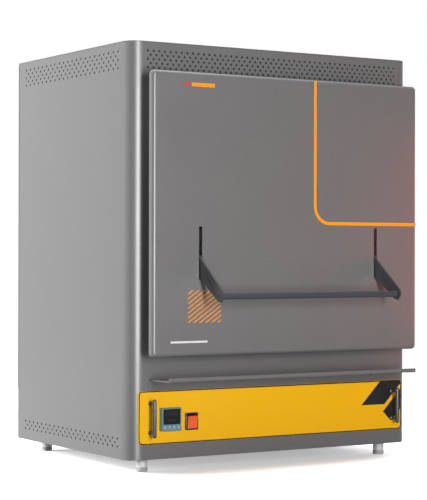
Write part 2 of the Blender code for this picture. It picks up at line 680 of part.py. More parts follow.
def make_guard_and_inlet():
    low = DEPTH + GAP
    windows = [window for inner, outer in GUARD_RINGS for window in sectors(inner, outer, 0.0025)]
    guard = prism("XZ", circle(FAN, GUARD_RADIUS, BIG_ROUND), low, low + GUARD, windows)
    place("fan_guard", guard, "bare_steel")
    plate = prism("XZ", rounded(INLET, INLET_FLANGE, INLET_FLANGE, 0.006, 3), low, low + 0.003)
    item = place("mains_inlet", plate, "black_plastic")
    collar = rod("Y", (INLET[0], 0, INLET[1]), INLET_RADIUS - GAP, REAR - 0.020, DEPTH + INLET_OUT)
    combine(item, collar, "UNION")
    mouth = rod("Y", (INLET[0], 0, INLET[1]), INLET_RADIUS - 0.004, DEPTH, DEPTH + INLET_OUT + FREE)
    combine(item, mouth, "DIFFERENCE")


# ---- lifting linkage --------------------------------------------------------------------------
def stepped_pin(side_in, spot, shoulder, journal, plate, stop, end):
    """A pin standing out of a bracket plate: a thick shoulder, then the journal."""
    profile = [(0, side_in + plate / 2), (shoulder, side_in + plate / 2), (shoulder, stop), (journal, stop),
               (journal, end), (0, end)]
    return turned("X", (0, *spot), profile)


def bracket_shapes(side_in, span_y, spots, shoulder, journal):
    """The right-hand plate and its pins, as separate shapes to be welded."""
    stop = LEVER_IN - RUN
    end = LEVER_OUT + 0.005
    low = min(z for _, z in spots) - 2 * shoulder
    high = max(z for _, z in spots) + 2 * shoulder
    middle = (sum(span_y) / 2, (low + high) / 2)
    outline = rounded(middle, span_y[1] - span_y[0], high - low, 0.008, 3)
    plate = prism("YZ", outline, side_in, side_in + BRACKET)
    return plate, [stepped_pin(side_in, spot, shoulder, journal, BRACKET, stop, end) for spot in spots]


def make_pivot_brackets():
    span = (MAIN_PIVOT[0] - BRACKET_HALF, MAIN_PIVOT[0] + BRACKET_HALF)
    plate, pins = bracket_shapes(LINER_OUT + GAP, span, (MAIN_PIVOT, LINK_PIVOT), MAIN_SHOULDER, MAIN_PIN)
    left_pins = [mirrored(pin) for pin in pins]
    left, right = pair("pivot_bracket", plate, "galvanised")
    combine(left, merge(left_pins), "UNION")
    combine(right, merge(pins), "UNION")


def make_levers(axle):
    route = [COUNTER, MAIN_PIVOT, DOOR_PIVOT, HANDLE]
    outline = strip(route, [LEVER_HALF, LEVER_HALF, LEVER_HALF, LEVER_TIP])
    bores = [circle(COUNTER, WEIGHT_STUD + GAP), circle(MAIN_PIVOT, MAIN_PIN + RUN),
             circle(DOOR_PIVOT, DOOR_PIN + RUN), circle(HANDLE, BOLT + GAP, 12)]
    pair("lever", prism("YZ", outline, LEVER_IN, LEVER_OUT, bores), "dark_paint", (0, *MAIN_PIVOT), axle)
    make_handle(axle)
    make_counterweights(axle)


def make_handle(axle):
    """The pull bar, with a screw at each end through the lever's tip."""
    end = LEVER_IN - GAP
    head = LEVER_OUT + GAP
    tip = [(BAR_RADIUS, end), (BOLT, end), (BOLT, head), (0.005, head), (0.005, head + 0.002),
           (0.003, head + 0.003), (0, head + 0.003)]
    profile = [(radius, -along) for radius, along in tip[::-1]] + tip
    place("handle_bar", turned("X", (0, *HANDLE), profile), "dark_paint", (0, *HANDLE), axle)


def make_counterweights(axle):
    """Cast blocks, square to the levers, each on a stud through its lever's rear end."""
    start = LEVER_OUT + RUN
    along = Vector(LEVER_DIR) * WEIGHT_SIDE / 2
    across = Vector((-LEVER_DIR[1], LEVER_DIR[0])) * WEIGHT_SIDE / 2
    middle = Vector(COUNTER)
    outline = [tuple(middle + i * along + j * across) for i, j in ((-1, -1), (1, -1), (1, 1), (-1, 1))]
    for side, name in ((-1, "counterweight_left"), (1, "counterweight_right")):
        cast = prism("YZ", outline, start, start + WEIGHT_WIDTH)
        peg = rod("X", (0, *COUNTER), WEIGHT_STUD, LEVER_IN - FREE, start + WEIGHT_STUD)
        cast, peg = (cast, peg) if side > 0 else (mirrored(cast), mirrored(peg))
        item = place(name, cast, "cast_iron", rides=axle)
        combine(item, peg, "UNION")


def make_links(axle):
    low = LEVER_X - LINK_THICK / 2
    outline = strip([LINK_PIVOT, DOOR_LINK_PIVOT], [LINK_HALF + 0.002, LINK_HALF])
    bores = [circle(LINK_PIVOT, MAIN_PIN + RUN), circle(DOOR_LINK_PIVOT, DOOR_PIN + 2 * RUN)]
    link = prism("YZ", outline, low, low + LINK_THICK, bores)
    pair("link", link, "galvanised", (0, *LINK_PIVOT), axle)


# ---- door -------------------------------------------------------------------------------------
def slot_span():
    """Lowest and highest Z that the pull arm takes up in the cover, over the whole swing."""
    ahead = DOOR_PIVOT[0] - DOOR_FRONT
    half = LEVER_HALF - (LEVER_HALF - LEVER_TIP) * ahead / HANDLE_ARM
    raised = SWING - HANDLE_ANGLE
    low = DOOR_PIVOT[1] - ahead * tan(HANDLE_ANGLE) - half / cos(HANDLE_ANGLE)
    high = DOOR_PIVOT[1] + ahead * tan(raised) + half / cos(raised)
    return low - FREE, high + FREE


def pan(middle, width, height, front, depth, sheet, bend, corner, holes=()):
    """A sheet pan, open to the rear, with rounded front edges; middle is X and Z."""
    rings = []
    for turn in (0, 30, 60, 90):
        inset = bend * (1 - sin(radians(turn)))
        y = front + bend * (1 - cos(radians(turn)))
        rings.append((inset, y))
    rings += [(0, front + depth), (sheet, front + depth), (sheet, front + max(bend, sheet)),
              (sheet + bend * 0.6, front + sheet)]
    loops = []
    for inset, y in rings:
        radius = max(corner - inset, 0.0012)
        loop = rounded(middle, width - 2 * inset, height - 2 * inset, radius, 3)
        loops.append(lift(loop, "XZ", y))
    pairs = [(lift(hole, "XZ", front), lift(hole, "XZ", front + sheet)) for hole in holes]
    return solid(loops, pairs)


def make_door(axle):
    pivot = (0, *DOOR_PIVOT)
    low, high = slot_span()
    spots = [(side * LEVER_X, (low + high) / 2) for side in (-1, 1)]
    slots = [rounded(spot, SLOT_WIDTH, high - low, 0.0015, 2) for spot in spots]
    middle = (0, DOOR_LOW + DOOR_HEIGHT / 2)
    cover = pan(middle, DOOR_WIDTH, DOOR_HEIGHT, DOOR_FRONT, COVER_DEPTH, SHEET, COVER_BEND,
                COVER_CORNER, slots)
    place("door_cover", cover, "body_paint", pivot, axle)
    middle = (0, CHAMBER_Z)
    depth = BOX_REAR - BOX_FRONT
    box = pan(middle, 2 * BOX_HALF, BOX_HEIGHT, BOX_FRONT, depth, BOX_SHEET, BOX_SHEET * 1.2, 0.003)
    item = place("door_box", box, "galvanised", pivot, axle)
    make_door_lining(axle, pivot)
    span = (DOOR_PIVOT[0] - 0.015, DOOR_PIVOT[0] + 0.018)
    spots = (DOOR_PIVOT, DOOR_LINK_PIVOT)
    plate, pins = bracket_shapes(BOX_HALF - 0.0005, span, spots, DOOR_SHOULDER, DOOR_PIN)
    combine(item, merge([plate.copy(), mirrored(plate)]), "UNION")
    combine(item, merge([mirrored(pin) for pin in pins] + pins), "UNION")


def make_door_lining(axle, pivot):
    skin = BOX_SHEET + 2 * GAP
    half = BOX_HALF - skin
    tall = BOX_HEIGHT / 2 - skin
    front = BOX_FRONT + BOX_SHEET + 0.0015
    rear = BOX_REAR - 0.0010
    slab = block((-half, front, CHAMBER_Z - tall), (half, rear, CHAMBER_Z + tall))
    place("door_insulation", slab, "fibre_board", pivot, axle)
    mouth = MOUTH - PLUG_GAP
    depth = THROAT_START + THROAT_FLARE - PLUG_GAP
    rings = [(rear + GAP, mouth), (THROAT_START, mouth), (depth, CHAMBER / 2)]
    place("door_plug", solid([lift(square(half), "XZ", y) for y, half in rings]), "fibre_board", pivot, axle)
    ring = MOUTH + SEAL_OUT
    outer = rounded((0, CHAMBER_Z), 2 * ring + SEAL_WIDTH, 2 * ring + SEAL_WIDTH, 0.014, 3)
    inner = rounded((0, CHAMBER_Z), 2 * ring - SEAL_WIDTH, 2 * ring - SEAL_WIDTH, 0.004, 3)
    place("door_seal", prism("XZ", outer, rear + GAP, -GAP, [inner]), "fibre_board", pivot, axle)


# ---- control drawer ---------------------------------------------------------------------------
def make_panel(axle):
    meter_cut = rectangle(METER, METER_BODY + 2 * GAP, METER_BODY + 2 * GAP)
    switch_cut = rectangle(SWITCH, *(size - 2 * SWITCH_LAP for size in SWITCH_FRAME))
    face = rounded((0, PANEL_Z), PANEL_WIDTH, PANEL_HEIGHT, PANEL_CORNER)
    panel = prism("XZ", face, PANEL_FRONT, -GAP, [meter_cut, switch_cut])
    place("drawer_front", panel, "panel_paint", rides=axle)


def slide_channel(outer, width, half):
    """A C-shaped slide member open towards the drawer, seen along its length."""
    inner = outer - width
    web = outer - SLIDE_SHEET
    lip = half - SLIDE_SHEET
    return [(inner, -half), (outer, -half), (outer, half), (inner, half), (inner, lip), (web, lip),
            (web, -lip), (inner, -lip)]


def make_slides(drawer):
    """A slide on each side: a channel on a foot, and a bar on the tray that runs inside it."""
    half = SLIDE_HEIGHT / 2
    channel = slide_channel(SLIDE_OUT, SLIDE_DEPTH, half)
    floor = BOTTOM + BASE_SHEET + GAP - SLIDE_Z
    toe = SLIDE_OUT + SLIDE_FOOT
    foot = [(SLIDE_OUT - SLIDE_SHEET, -half), (SLIDE_OUT - SLIDE_SHEET, floor), (toe, floor),
            (toe, floor + SLIDE_SHEET), (SLIDE_OUT, floor + SLIDE_SHEET)]
    outer = SLIDE_OUT - SLIDE_SHEET - RUN
    bar = rectangle((outer - BAR_WIDTH / 2, 0), BAR_WIDTH, 2 * (half - SLIDE_SHEET - RUN))
    start = SHEET + FREE
    outlines = (("slide_channel", foot + channel[2:] + [channel[0]], None), ("slide_bar", bar, drawer))
    for name, outline, rides in outlines:
        profile = [(x, z + SLIDE_Z) for x, z in outline]
        pair(name, prism("XZ", profile, start, start + TRAY_DEPTH), "galvanised", rides=rides)
    return outer - BAR_WIDTH


def make_tray(axle, half):
    """Open-topped tray behind the panel, between the slides."""
    low = TRAY_LOW
    high = low + TRAY_HEIGHT
    middle = (0, TRAY_DEPTH / 2)
    rings = [(0, low), (0, high), (SHEET, high), (SHEET, low + SHEET)]
    loops = [lift(rectangle(middle, 2 * (half - i), TRAY_DEPTH - 2 * i), "XY", z) for i, z in rings]
    item = place("drawer_chassis", solid(loops), "galvanised", rides=axle)
    lip = half - 0.006
    combine(item, block((-lip, -FREE, low + 0.006), (lip, 2 * SHEET, high + FREE)), "DIFFERENCE")
    rest = low + SHEET + GAP
    boxes = (("transformer", TRANSFORMER, "cast_iron"), ("power_controller", POWER_BOX, "bare_steel"))
    for name, (near, far, height), finish in boxes:
        place(name, block((*near, rest), (*far, rest + height)), finish, rides=axle)


def make_grips(axle):
    y = PANEL_FRONT - GRIP_OUT
    r = GRIP_RADIUS
    ends = [(r * sin(radians(a)), r * cos(radians(a))) for a in (0, 30, 60, 90)]
    profile = [(radius, GRIP_HALF - r + rise) for radius, rise in ends]
    profile = [(0, GRIP_HALF)] + profile[1:]
    profile += [(radius, -along) for radius, along in profile[::-1]]
    for side, name in ((-1, "drawer_handle_left"), (1, "drawer_handle_right")):
        item = place(name, turned("Z", (side * GRIP_X, y, GRIP_Z), profile, 16), "dark_paint", rides=axle)
        spots = [(side * GRIP_X, 0, GRIP_Z + end * STUD_PITCH / 2) for end in (-1, 1)]
        studs = [rod("Y", spot, STUD_RADIUS, y, PANEL_FRONT - GAP, 12) for spot in spots]
        combine(item, merge(studs), "UNION")


def make_meter(axle):
    front = PANEL_FRONT - METER_OUT
    back = PANEL_FRONT - GAP
    bezel = rounded(METER, METER_BEZEL, METER_BEZEL, 0.0025, 2)
    body = rounded(METER, METER_BODY, METER_BODY, 0.001, 2)
    steps = ((bezel, front), (bezel, back), (body, back), (body, METER_DEPTH))
    rings = [lift(loop, "XZ", y) for loop, y in steps]
    item = place("controller_body", solid(rings), "meter_plastic", rides=axle)
    glass = (METER[0], METER[1] + WINDOW_UP)
    seat = front + WINDOW_THICK + GAP
    recess = prism("XZ", rectangle(glass, WINDOW[0] + 2 * GAP, WINDOW[1] + 2 * GAP), front - FREE, seat)
    spots = [(METER[0] + (i - 1.5) * BUTTON_PITCH, METER[1] - BUTTON_DOWN) for i in range(4)]
    floor = front + BUTTON_WELL
    wells = [rod("Y", (x, 0, z), BUTTON_RADIUS + GAP, front - FREE, floor, 16) for x, z in spots]
    combine(item, merge([recess] + wells), "DIFFERENCE")
    pane = prism("XZ", rectangle(glass, *WINDOW), front, front + WINDOW_THICK)
    place("controller_window", pane, "window_glass", rides=axle)
    tip = front - BUTTON_OUT
    inner_end = floor - BUTTON_TRAVEL - RUN
    profile = [(0, tip), (BUTTON_RADIUS - 0.0005, tip), (BUTTON_RADIUS, tip + 0.0005),
               (BUTTON_RADIUS, inner_end), (0, inner_end)]
    for i, (x, z) in enumerate(spots):
        key = turned("Y", (x, 0, z), profile, 16)
        place(f"controller_button_{i + 1}", key, "button_plastic", rides=axle)


def make_switch(axle):
    front = PANEL_FRONT - SWITCH_OUT
    back = PANEL_FRONT - GAP
    flange = rounded(SWITCH, *SWITCH_FRAME, 0.002, 2)
    neck = rounded(SWITCH, *(size - 2 * (SWITCH_LAP + GAP) for size in SWITCH_FRAME), 0.0015, 2)
    steps = ((flange, front), (flange, back), (neck, back), (neck, SWITCH_DEPTH))
    hole = rectangle(SWITCH, *SWITCH_HOLE)
    ends = (lift(hole, "XZ", front), lift(hole, "XZ", SWITCH_DEPTH))
    frame = solid([lift(loop, "XZ", y) for loop, y in steps], [ends])
    place("rocker_frame", frame, "black_plastic", rides=axle)
    pivot = (SWITCH[0], ROCKER_PIVOT, SWITCH[1])
    half = ROCKER[1] / 2
    shape = [(-0.0125, 0), (-0.0140, half), (-0.0060, half), (-0.0020, half * 0.75), (-0.0020, -half * 0.75),
             (-0.0060, -half), (-0.0140, -half)]
    c, s = cos(ROCKER_TILT), sin(ROCKER_TILT)
    tilted = [(ROCKER_PIVOT + y * c - z * s, SWITCH[1] + y * s + z * c) for y, z in shape]
    key = prism("YZ", tilted, SWITCH[0] - ROCKER[0] / 2, SWITCH[0] + ROCKER[0] / 2)
    place("rocker", key, "orange_plastic", pivot, axle)


def main():
    clear_scene()
    make_front_panel()
    make_side_panels()
    make_rear_and_covers()
    make_feet()
    make_shelf()
    make_insulation()
    make_throat()
    make_liner_and_hearth()
    make_heating()
    make_probe_and_pipe()
    make_fan()
    make_guard_and_inlet()
    make_pivot_brackets()
    lever_axis = axis_point("lever_axis", (0, *MAIN_PIVOT))
    make_levers(lever_axis)
    make_links(axis_point("link_axis", (0, *LINK_PIVOT)))
    make_door(axis_point("door_axis", (0, *DOOR_PIVOT)))
    drawer = axis_point("drawer_axis", (0, 0, PANEL_Z))
    make_panel(drawer)
    tray_half = make_slides(drawer)
    make_tray(drawer, tray_half - GAP)
    make_grips(drawer)
    make_meter(drawer)
    make_switch(drawer)


main()
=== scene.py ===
"""Looks of a chamber furnace: perforated powder-coated casing, lift-up door, pull bar and control drawer.

Metres, +Z up, the front faces -Y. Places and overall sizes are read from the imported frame; the named
values below are the small sizes that the frame doesn't hold, such as sheet bends and hole patterns.
"""
import json
from math import atan2, cos, pi, radians, sin

import bmesh
import bpy
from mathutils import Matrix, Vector
from mathutils.geometry import delaunay_2d_cdt


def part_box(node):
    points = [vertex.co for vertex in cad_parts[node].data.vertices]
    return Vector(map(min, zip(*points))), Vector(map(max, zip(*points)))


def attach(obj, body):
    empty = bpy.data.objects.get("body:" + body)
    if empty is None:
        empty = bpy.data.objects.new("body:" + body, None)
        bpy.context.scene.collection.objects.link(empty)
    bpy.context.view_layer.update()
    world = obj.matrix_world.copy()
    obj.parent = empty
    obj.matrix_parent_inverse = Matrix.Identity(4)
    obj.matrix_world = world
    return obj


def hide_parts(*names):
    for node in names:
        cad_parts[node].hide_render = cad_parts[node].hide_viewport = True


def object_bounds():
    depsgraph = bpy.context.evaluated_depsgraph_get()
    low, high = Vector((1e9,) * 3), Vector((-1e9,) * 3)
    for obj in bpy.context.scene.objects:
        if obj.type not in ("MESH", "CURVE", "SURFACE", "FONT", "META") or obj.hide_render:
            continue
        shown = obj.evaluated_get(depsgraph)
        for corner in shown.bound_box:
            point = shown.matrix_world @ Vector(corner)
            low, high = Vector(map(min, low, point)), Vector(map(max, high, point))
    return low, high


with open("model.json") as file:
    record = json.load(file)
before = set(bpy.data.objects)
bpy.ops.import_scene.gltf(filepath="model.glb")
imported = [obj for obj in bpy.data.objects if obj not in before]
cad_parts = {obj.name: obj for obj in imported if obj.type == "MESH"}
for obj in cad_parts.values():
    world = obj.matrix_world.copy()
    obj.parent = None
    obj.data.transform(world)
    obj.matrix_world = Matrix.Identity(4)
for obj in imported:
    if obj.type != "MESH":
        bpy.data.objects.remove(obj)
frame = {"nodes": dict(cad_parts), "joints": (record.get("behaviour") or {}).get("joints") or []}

CAD_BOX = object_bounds()
MM = 0.001

# ---- sizes ------------------------------------------------------------------------------------
SKIN = 0.1 * MM                 # thickness of a printed film
SCREW = 3.4 * MM                # radius of a pan-head screw
HOLE = 2.5 * MM                 # radius of a vent hole
FRONT_PITCH = 13.5 * MM         # between vent holes along the front
SIDE_PITCH = 20.8 * MM          # between vent holes along the sides
ROW_PITCH = 8.6 * MM
TOP_ROW = 19.5 * MM             # from the casing's top edge to the first row of vents
LOW_ROW = 25.7 * MM             # from its bottom edge to the lowest row
LEVER_HALF = 19.0 * MM
LEVER_TIP = 13.5 * MM
STRIPE = 7.0 * MM               # the door's printed line
STRIPE_BEND = 37.0 * MM
EDGE_SHADE = 2.4 * MM               # width of the dark ring painted round the control panel: painted shade for the gap round it
METER_HOLE = 22.7 * MM          # half the controller's square cut-out in the panel
SWITCH_HOLE = 14 * MM, 16.5 * MM    # half the rocker switch's cut-out
BAY_INSET = 12.5 * MM, 8.5 * MM     # from the control panel's edges in to the drawer's bay
BLADES = 7                      # of the fan's wheel
BLADE = ((-0.5, 0.02), (-0.2, 0.06), (0.2, 0.06), (0.5, 0.02), (0.2, -0.01), (-0.2, -0.01))
FILL = 0.09                     # the room's own light, beside the white backdrop


def low(node):
    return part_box(node)[0]


def high(node):
    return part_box(node)[1]


def middle(node):
    return (low(node) + high(node)) / 2


def half(node):
    return (high(node) - low(node)) / 2


def reach(node, axis, keep):
    """Lowest and highest value along an axis of those corners of a CAD node that pass a test."""
    found = [v.co[axis] for v in frame["nodes"][node].data.vertices if keep(v.co)]
    return min(found), max(found)


def joint_at(name):
    return Vector(next(j["pos_m"] for j in frame["joints"] if j["name"] == name))


# ---- outlines, as lists of points in a plane --------------------------------------------------
def arc(centre, radius, start, end, steps):
    turns = [radians(start + (end - start) * i / steps) for i in range(steps + 1)]
    return [(centre[0] + radius * cos(t), centre[1] + radius * sin(t)) for t in turns]


def circle(centre, radius, steps=32):
    return arc(centre, radius, 0, 360, steps)[:-1]


def rounded(a, b, radius, steps=6):
    """A rectangle from corner a to corner b with round corners."""
    loop = []
    for x, y, start in ((b[0], a[1], 270), (b[0], b[1], 0), (a[0], b[1], 90), (a[0], a[1], 180)):
        centre = (x + (radius if x == a[0] else -radius), y + (radius if y == a[1] else -radius))
        loop += arc(centre, radius, start, start + 90, steps)
    return loop


def grown(a, b, by):
    return (a[0] - by, a[1] - by), (b[0] + by, b[1] + by)


def bent(points, radius, steps=6):
    """A line of points with each inner corner rounded."""
    line = [Vector(p) for p in points]
    path = [line[0]]
    for before, corner, after in zip(line, line[1:], line[2:]):
        back, ahead = (before - corner).normalized(), (after - corner).normalized()
        angle = back.angle(ahead)
        cut = min(radius / max(sin(angle / 2) / cos(angle / 2), 1e-6), (before - corner).length * 0.499,
                  (after - corner).length * 0.499)
        start, end = corner + back * cut, corner + ahead * cut
        for i in range(steps + 1):
            t = i / steps
            path.append(start * (1 - t) ** 2 + corner * 2 * t * (1 - t) + end * t ** 2)
    return path + [line[-1]]


def ribbon(points, halves):
    """Outline of a flat bar along a line in a plane, square at its ends."""
    line = [Vector(p) for p in points]
    left, right = [], []
    for i, point in enumerate(line):
        along = (line[min(i + 1, len(line) - 1)] - line[max(i - 1, 0)]).normalized()
        side = Vector((-along.y, along.x)) * (halves[i] if isinstance(halves, list) else halves)
        left.append(tuple(point + side))
        right.append(tuple(point - side))
    return right + left[::-1]


# ---- meshes -----------------------------------------------------------------------------------
def put(plane, u, v, level):
    return Vector({"XY": (u, v, level), "XZ": (u, level, v), "YZ": (level, u, v)}[plane])


def cut_faces(outline, holes=(), folds=()):
    """Triangles that fill an outline round its holes, with an edge along each fold line."""
    points, loops, edges = [], [], []
    for loop in [outline, *holes]:
        loops.append(list(range(len(points), len(points) + len(loop))))
        turn = sum(a[0] * b[1] - b[0] * a[1] for a, b in zip(loop, [*loop[1:], loop[0]]))
        points += [Vector(p) for p in (loop if turn > 0 else loop[::-1])]
    for start, end in folds:
        edges.append((len(points), len(points) + 1))
        points += [Vector(start), Vector(end)]
    verts, _, faces, _, _, owners = delaunay_2d_cdt(points, edges, loops, 1, 1e-7)
    return verts, [face for face, owner in zip(faces, owners) if list(owner) == [0]]


def plate(outline, holes, where, thick, folds=()):
    """A sheet with holes; where(u, v, depth) gives the place of a point of it in space."""
    verts, faces = cut_faces(outline, holes, folds)
    bm = bmesh.new()
    front = [bm.verts.new(where(p.x, p.y, 0)) for p in verts]
    back = [bm.verts.new(where(p.x, p.y, thick)) for p in verts]
    used = {}
    for face in faces:
        bm.faces.new([front[i] for i in face])
        bm.faces.new([back[i] for i in reversed(face)])
        for a, b in zip(face, face[1:] + face[:1]):
            used[(a, b)] = True
    for a, b in used:
        if (b, a) not in used:
            bm.faces.new((front[b], front[a], back[a], back[b]))
    loose = [v for v in bm.verts if not v.link_faces]
    bmesh.ops.delete(bm, geom=loose, context="VERTS")
    bmesh.ops.recalc_face_normals(bm, faces=bm.faces)
    return bm


def slab(plane, outline, start, end, holes=()):
    """A flat piece of even thickness between two levels of a plane."""
    return plate(outline, holes, lambda u, v, depth: put(plane, u, v, start + depth), end - start)


def lofted(rings, closed=False, ends=True):
    """A skin through a row of rings, with its two ends filled, or with the last ring joined to the first."""
    bm = bmesh.new()
    bands = [[bm.verts.new(p) for p in ring] for ring in rings]
    pairs = list(zip(bands, bands[1:])) + ([(bands[-1], bands[0])] if closed else [])
    for lower, upper in pairs:
        for i in range(len(lower)):
            j = (i + 1) % len(lower)
            bm.faces.new((lower[i], lower[j], upper[j], upper[i]))
    if ends and not closed:
        bm.faces.new(bands[0][::-1])
        bm.faces.new(bands[-1])
    bmesh.ops.recalc_face_normals(bm, faces=bm.faces)
    return bm


def pressed(rings, holes=()):
    """A sheet drawn through rings that face Y, with holes that pass through its first and last ring."""
    bm = lofted(rings, ends=False)
    levels = (rings[0][0][1], rings[-1][0][1])
    for ring, level in zip((rings[0], rings[-1]), levels):
        verts, faces = cut_faces([(p[0], p[2]) for p in ring], holes)
        made = [bm.verts.new((p.x, level, p.y)) for p in verts]
        for face in faces:
            bm.faces.new([made[i] for i in face])
    for hole in holes:
        near, far = [[bm.verts.new((x, level, z)) for x, z in hole] for level in levels]
        for i in range(len(hole)):
            j = (i + 1) % len(hole)
            bm.faces.new((near[i], near[j], far[j], far[i]))
    bmesh.ops.remove_doubles(bm, verts=bm.verts, dist=0.002 * MM)
    bmesh.ops.delete(bm, geom=[v for v in bm.verts if not v.link_faces], context="VERTS")
    bmesh.ops.recalc_face_normals(bm, faces=bm.faces)
    return bm


def turned(axis, centre, profile, steps=40, closed=False):
    """A piece turned on a lathe; profile gives (radius, distance along the axis)."""
    bm = bmesh.new()
    order = {"X": (1, 2, 0), "Y": (2, 0, 1), "Z": (0, 1, 2)}[axis]
    bands = []
    for radius, along in profile:
        band = []
        for i in range(steps if radius > 0 else 1):
            point = Vector((0, 0, 0))
            point[order[0]] = radius * cos(2 * pi * i / steps)
            point[order[1]] = radius * sin(2 * pi * i / steps)
            point[order[2]] = along
            band.append(bm.verts.new(point + Vector(centre)))
        bands.append(band)
    pairs = list(zip(bands, bands[1:])) + ([(bands[-1], bands[0])] if closed else [])
    for lower, upper in pairs:
        for i in range(steps):
            j = (i + 1) % steps
            corners = [lower[i % len(lower)], lower[j % len(lower)]]
            corners += [upper[j % len(upper)], upper[i % len(upper)]]
            bm.faces.new(list(dict.fromkeys(corners)))
    bmesh.ops.recalc_face_normals(bm, faces=bm.faces)
    return bm


def rod(axis, centre, radius, start, end, edge=0.0003, steps=40):
    """A round bar between two places on its axis, with its edges broken."""
    profile = [(0, start), (radius - edge, start), (radius, start + edge), (radius, end - edge),
               (radius - edge, end), (0, end)]
    return turned(axis, centre, profile, steps)


def swept(path, section, closed=False):
    """A section, as (sideways, up) points, carried along a path of points in space."""
    points = [Vector(p) for p in path]
    rings, up = [], None
    for i, point in enumerate(points):
        before = points[i - 1] if i or closed else point
        after = points[(i + 1) % len(points)] if i + 1 < len(points) or closed else point
        along = (after - before).normalized()
        if up is None:
            up = Vector((0, 1, 0)) if abs(along.y) < 0.9 else Vector((1, 0, 0))
        up = (up - along * up.dot(along)).normalized()
        side = along.cross(up)
        size = section(i) if callable(section) else section
        rings.append([point + side * u + up * v for u, v in size])
    return lofted(rings, closed)


def joined(parts):
    whole = bmesh.new()
    for part in parts:
        mesh = bpy.data.meshes.new("part")
        part.to_mesh(mesh)
        part.free()
        whole.from_mesh(mesh)
        bpy.data.meshes.remove(mesh)
    return whole


def turned_over(bm):
    """The same piece made for the other side."""
    copy = bm.copy()
    for vert in copy.verts:
        vert.co.x = -vert.co.x
    bmesh.ops.reverse_faces(copy, faces=copy.faces)
    return copy


# ---- pieces -----------------------------------------------------------------------------------
def piece(name, bm, finish, body, replaced=(), slot=None, edge=0.0, rounds=2, angle=30):
    """Makes the object, breaks its edges by the radius given, and ties it to its body."""
    mesh = bpy.data.meshes.new(name)
    bm.to_mesh(mesh)
    bm.free()
    mesh.shade_smooth()
    mesh.set_sharp_from_angle(angle=radians(angle))
    mesh.materials.append(finish)
    item = bpy.data.objects.new(name, mesh)
    bpy.context.scene.collection.objects.link(item)
    if edge:
        bevel = item.modifiers.new("broken_edges", "BEVEL")
        bevel.width = edge
        bevel.segments = rounds
        bevel.limit_method = "ANGLE"
        bevel.angle_limit = radians(angle)
        bevel.harden_normals = True
    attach(item, body)
    if replaced:
        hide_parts(*([replaced] if isinstance(replaced, str) else replaced))
    return item


def both_sides(name, bm, finish, body, replaced, slot=None, **more):
    """The right-hand piece and its mirror image."""
    left = turned_over(bm)
    for side, shape in (("right", bm), ("left", left)):
        piece(f"{name}_{side}", shape, finish, body, f"{replaced}_{side}" if replaced else (), slot, **more)


# ---- materials --------------------------------------------------------------------------------
def linear(code):
    """An sRGB hex colour as linear red, green, blue and alpha."""
    parts = [int(code[i:i + 2], 16) / 255 for i in (1, 3, 5)]
    return (*[c / 12.92 if c <= 0.04045 else ((c + 0.055) / 1.055) ** 2.4 for c in parts], 1.0)


def add(tree, kind, inputs=None, **settings):
    """Adds a node; each input is a value, or another node's output to link."""
    made = tree.nodes.new("ShaderNode" + kind)
    for name, value in settings.items():
        setattr(made, name, value)
    for name, value in (inputs or {}).items():
        if isinstance(value, bpy.types.NodeSocket):
            tree.links.new(value, made.inputs[name])
        else:
            made.inputs[name].default_value = value
    return made


def surface(name, colour, roughness, metallic=0.0, **sockets):
    """A new material: returns it, its tree, its shader and the object's own place."""
    material = bpy.data.materials.new(name)
    material.use_nodes = True
    tree = material.node_tree
    shader = tree.nodes["Principled BSDF"]
    shader.inputs["Base Color"].default_value = linear(colour)
    shader.inputs["Roughness"].default_value = roughness
    shader.inputs["Metallic"].default_value = metallic
    for socket, value in sockets.items():
        shader.inputs[socket.replace("_", " ")].default_value = value
    place = add(tree, "TexCoord").outputs["Object"]
    return material, tree, shader, place


def mottle(tree, place, dark, light, size, detail=3.0, stretch=(1, 1, 1), spread=(0.3, 0.7)):
    """A slow change between two colours; size is that of one patch in metres."""
    spot = add(tree, "Mapping", {"Vector": place, "Scale": [s / size for s in stretch]}).outputs[0]
    noise = add(tree, "TexNoise", {"Vector": spot, "Scale": 1.0, "Detail": detail, "Roughness": 0.55})
    share = add(tree, "MapRange",
                {"Value": noise.outputs["Fac"], "From Min": spread[0], "From Max": spread[1]})
    mix = add(tree, "Mix", {0: share.outputs[0], 6: linear(dark), 7: linear(light)}, data_type="RGBA")
    return mix.outputs[2], noise.outputs["Fac"]


def ripple(tree, shader, place, size, height, stretch=(1, 1, 1), under=None, detail=2.0):
    """A fine bump; size is that of one grain and height its depth, both in metres."""
    spot = add(tree, "Mapping", {"Vector": place, "Scale": [s / size for s in stretch]}).outputs[0]
    grain = add(tree, "TexNoise", {"Vector": spot, "Scale": 1.0, "Detail": detail, "Roughness": 0.5})
    settings = {"Height": grain.outputs["Fac"], "Strength": 1.0, "Distance": height}
    if under:
        settings["Normal"] = under
    bump = add(tree, "Bump", settings)
    tree.links.new(bump.outputs[0], shader.inputs["Normal"])
    return bump.outputs[0]


def powder_coat(name, dark, light, roughness=0.42, grain=1.1 * MM, depth=0.018 * MM, **sockets):
    """Powder coat, sprayed dry and baked: an even colour, fine orange peel and a soft sheen."""
    material, tree, shader, place = surface(name, light, roughness, 0.0, IOR=1.5, **sockets)
    colour, _ = mottle(tree, place, dark, light, 1.6 * MM, 2.0)
    tree.links.new(colour, shader.inputs["Base Color"])
    wide = add(tree, "TexNoise", {"Vector": place, "Scale": 9.0, "Detail": 3.0})
    rough = add(tree, "MapRange",
                {"Value": wide.outputs["Fac"], "To Min": roughness - 0.04, "To Max": roughness + 0.05})
    tree.links.new(rough.outputs[0], shader.inputs["Roughness"])
    ripple(tree, shader, place, grain, depth)
    return material


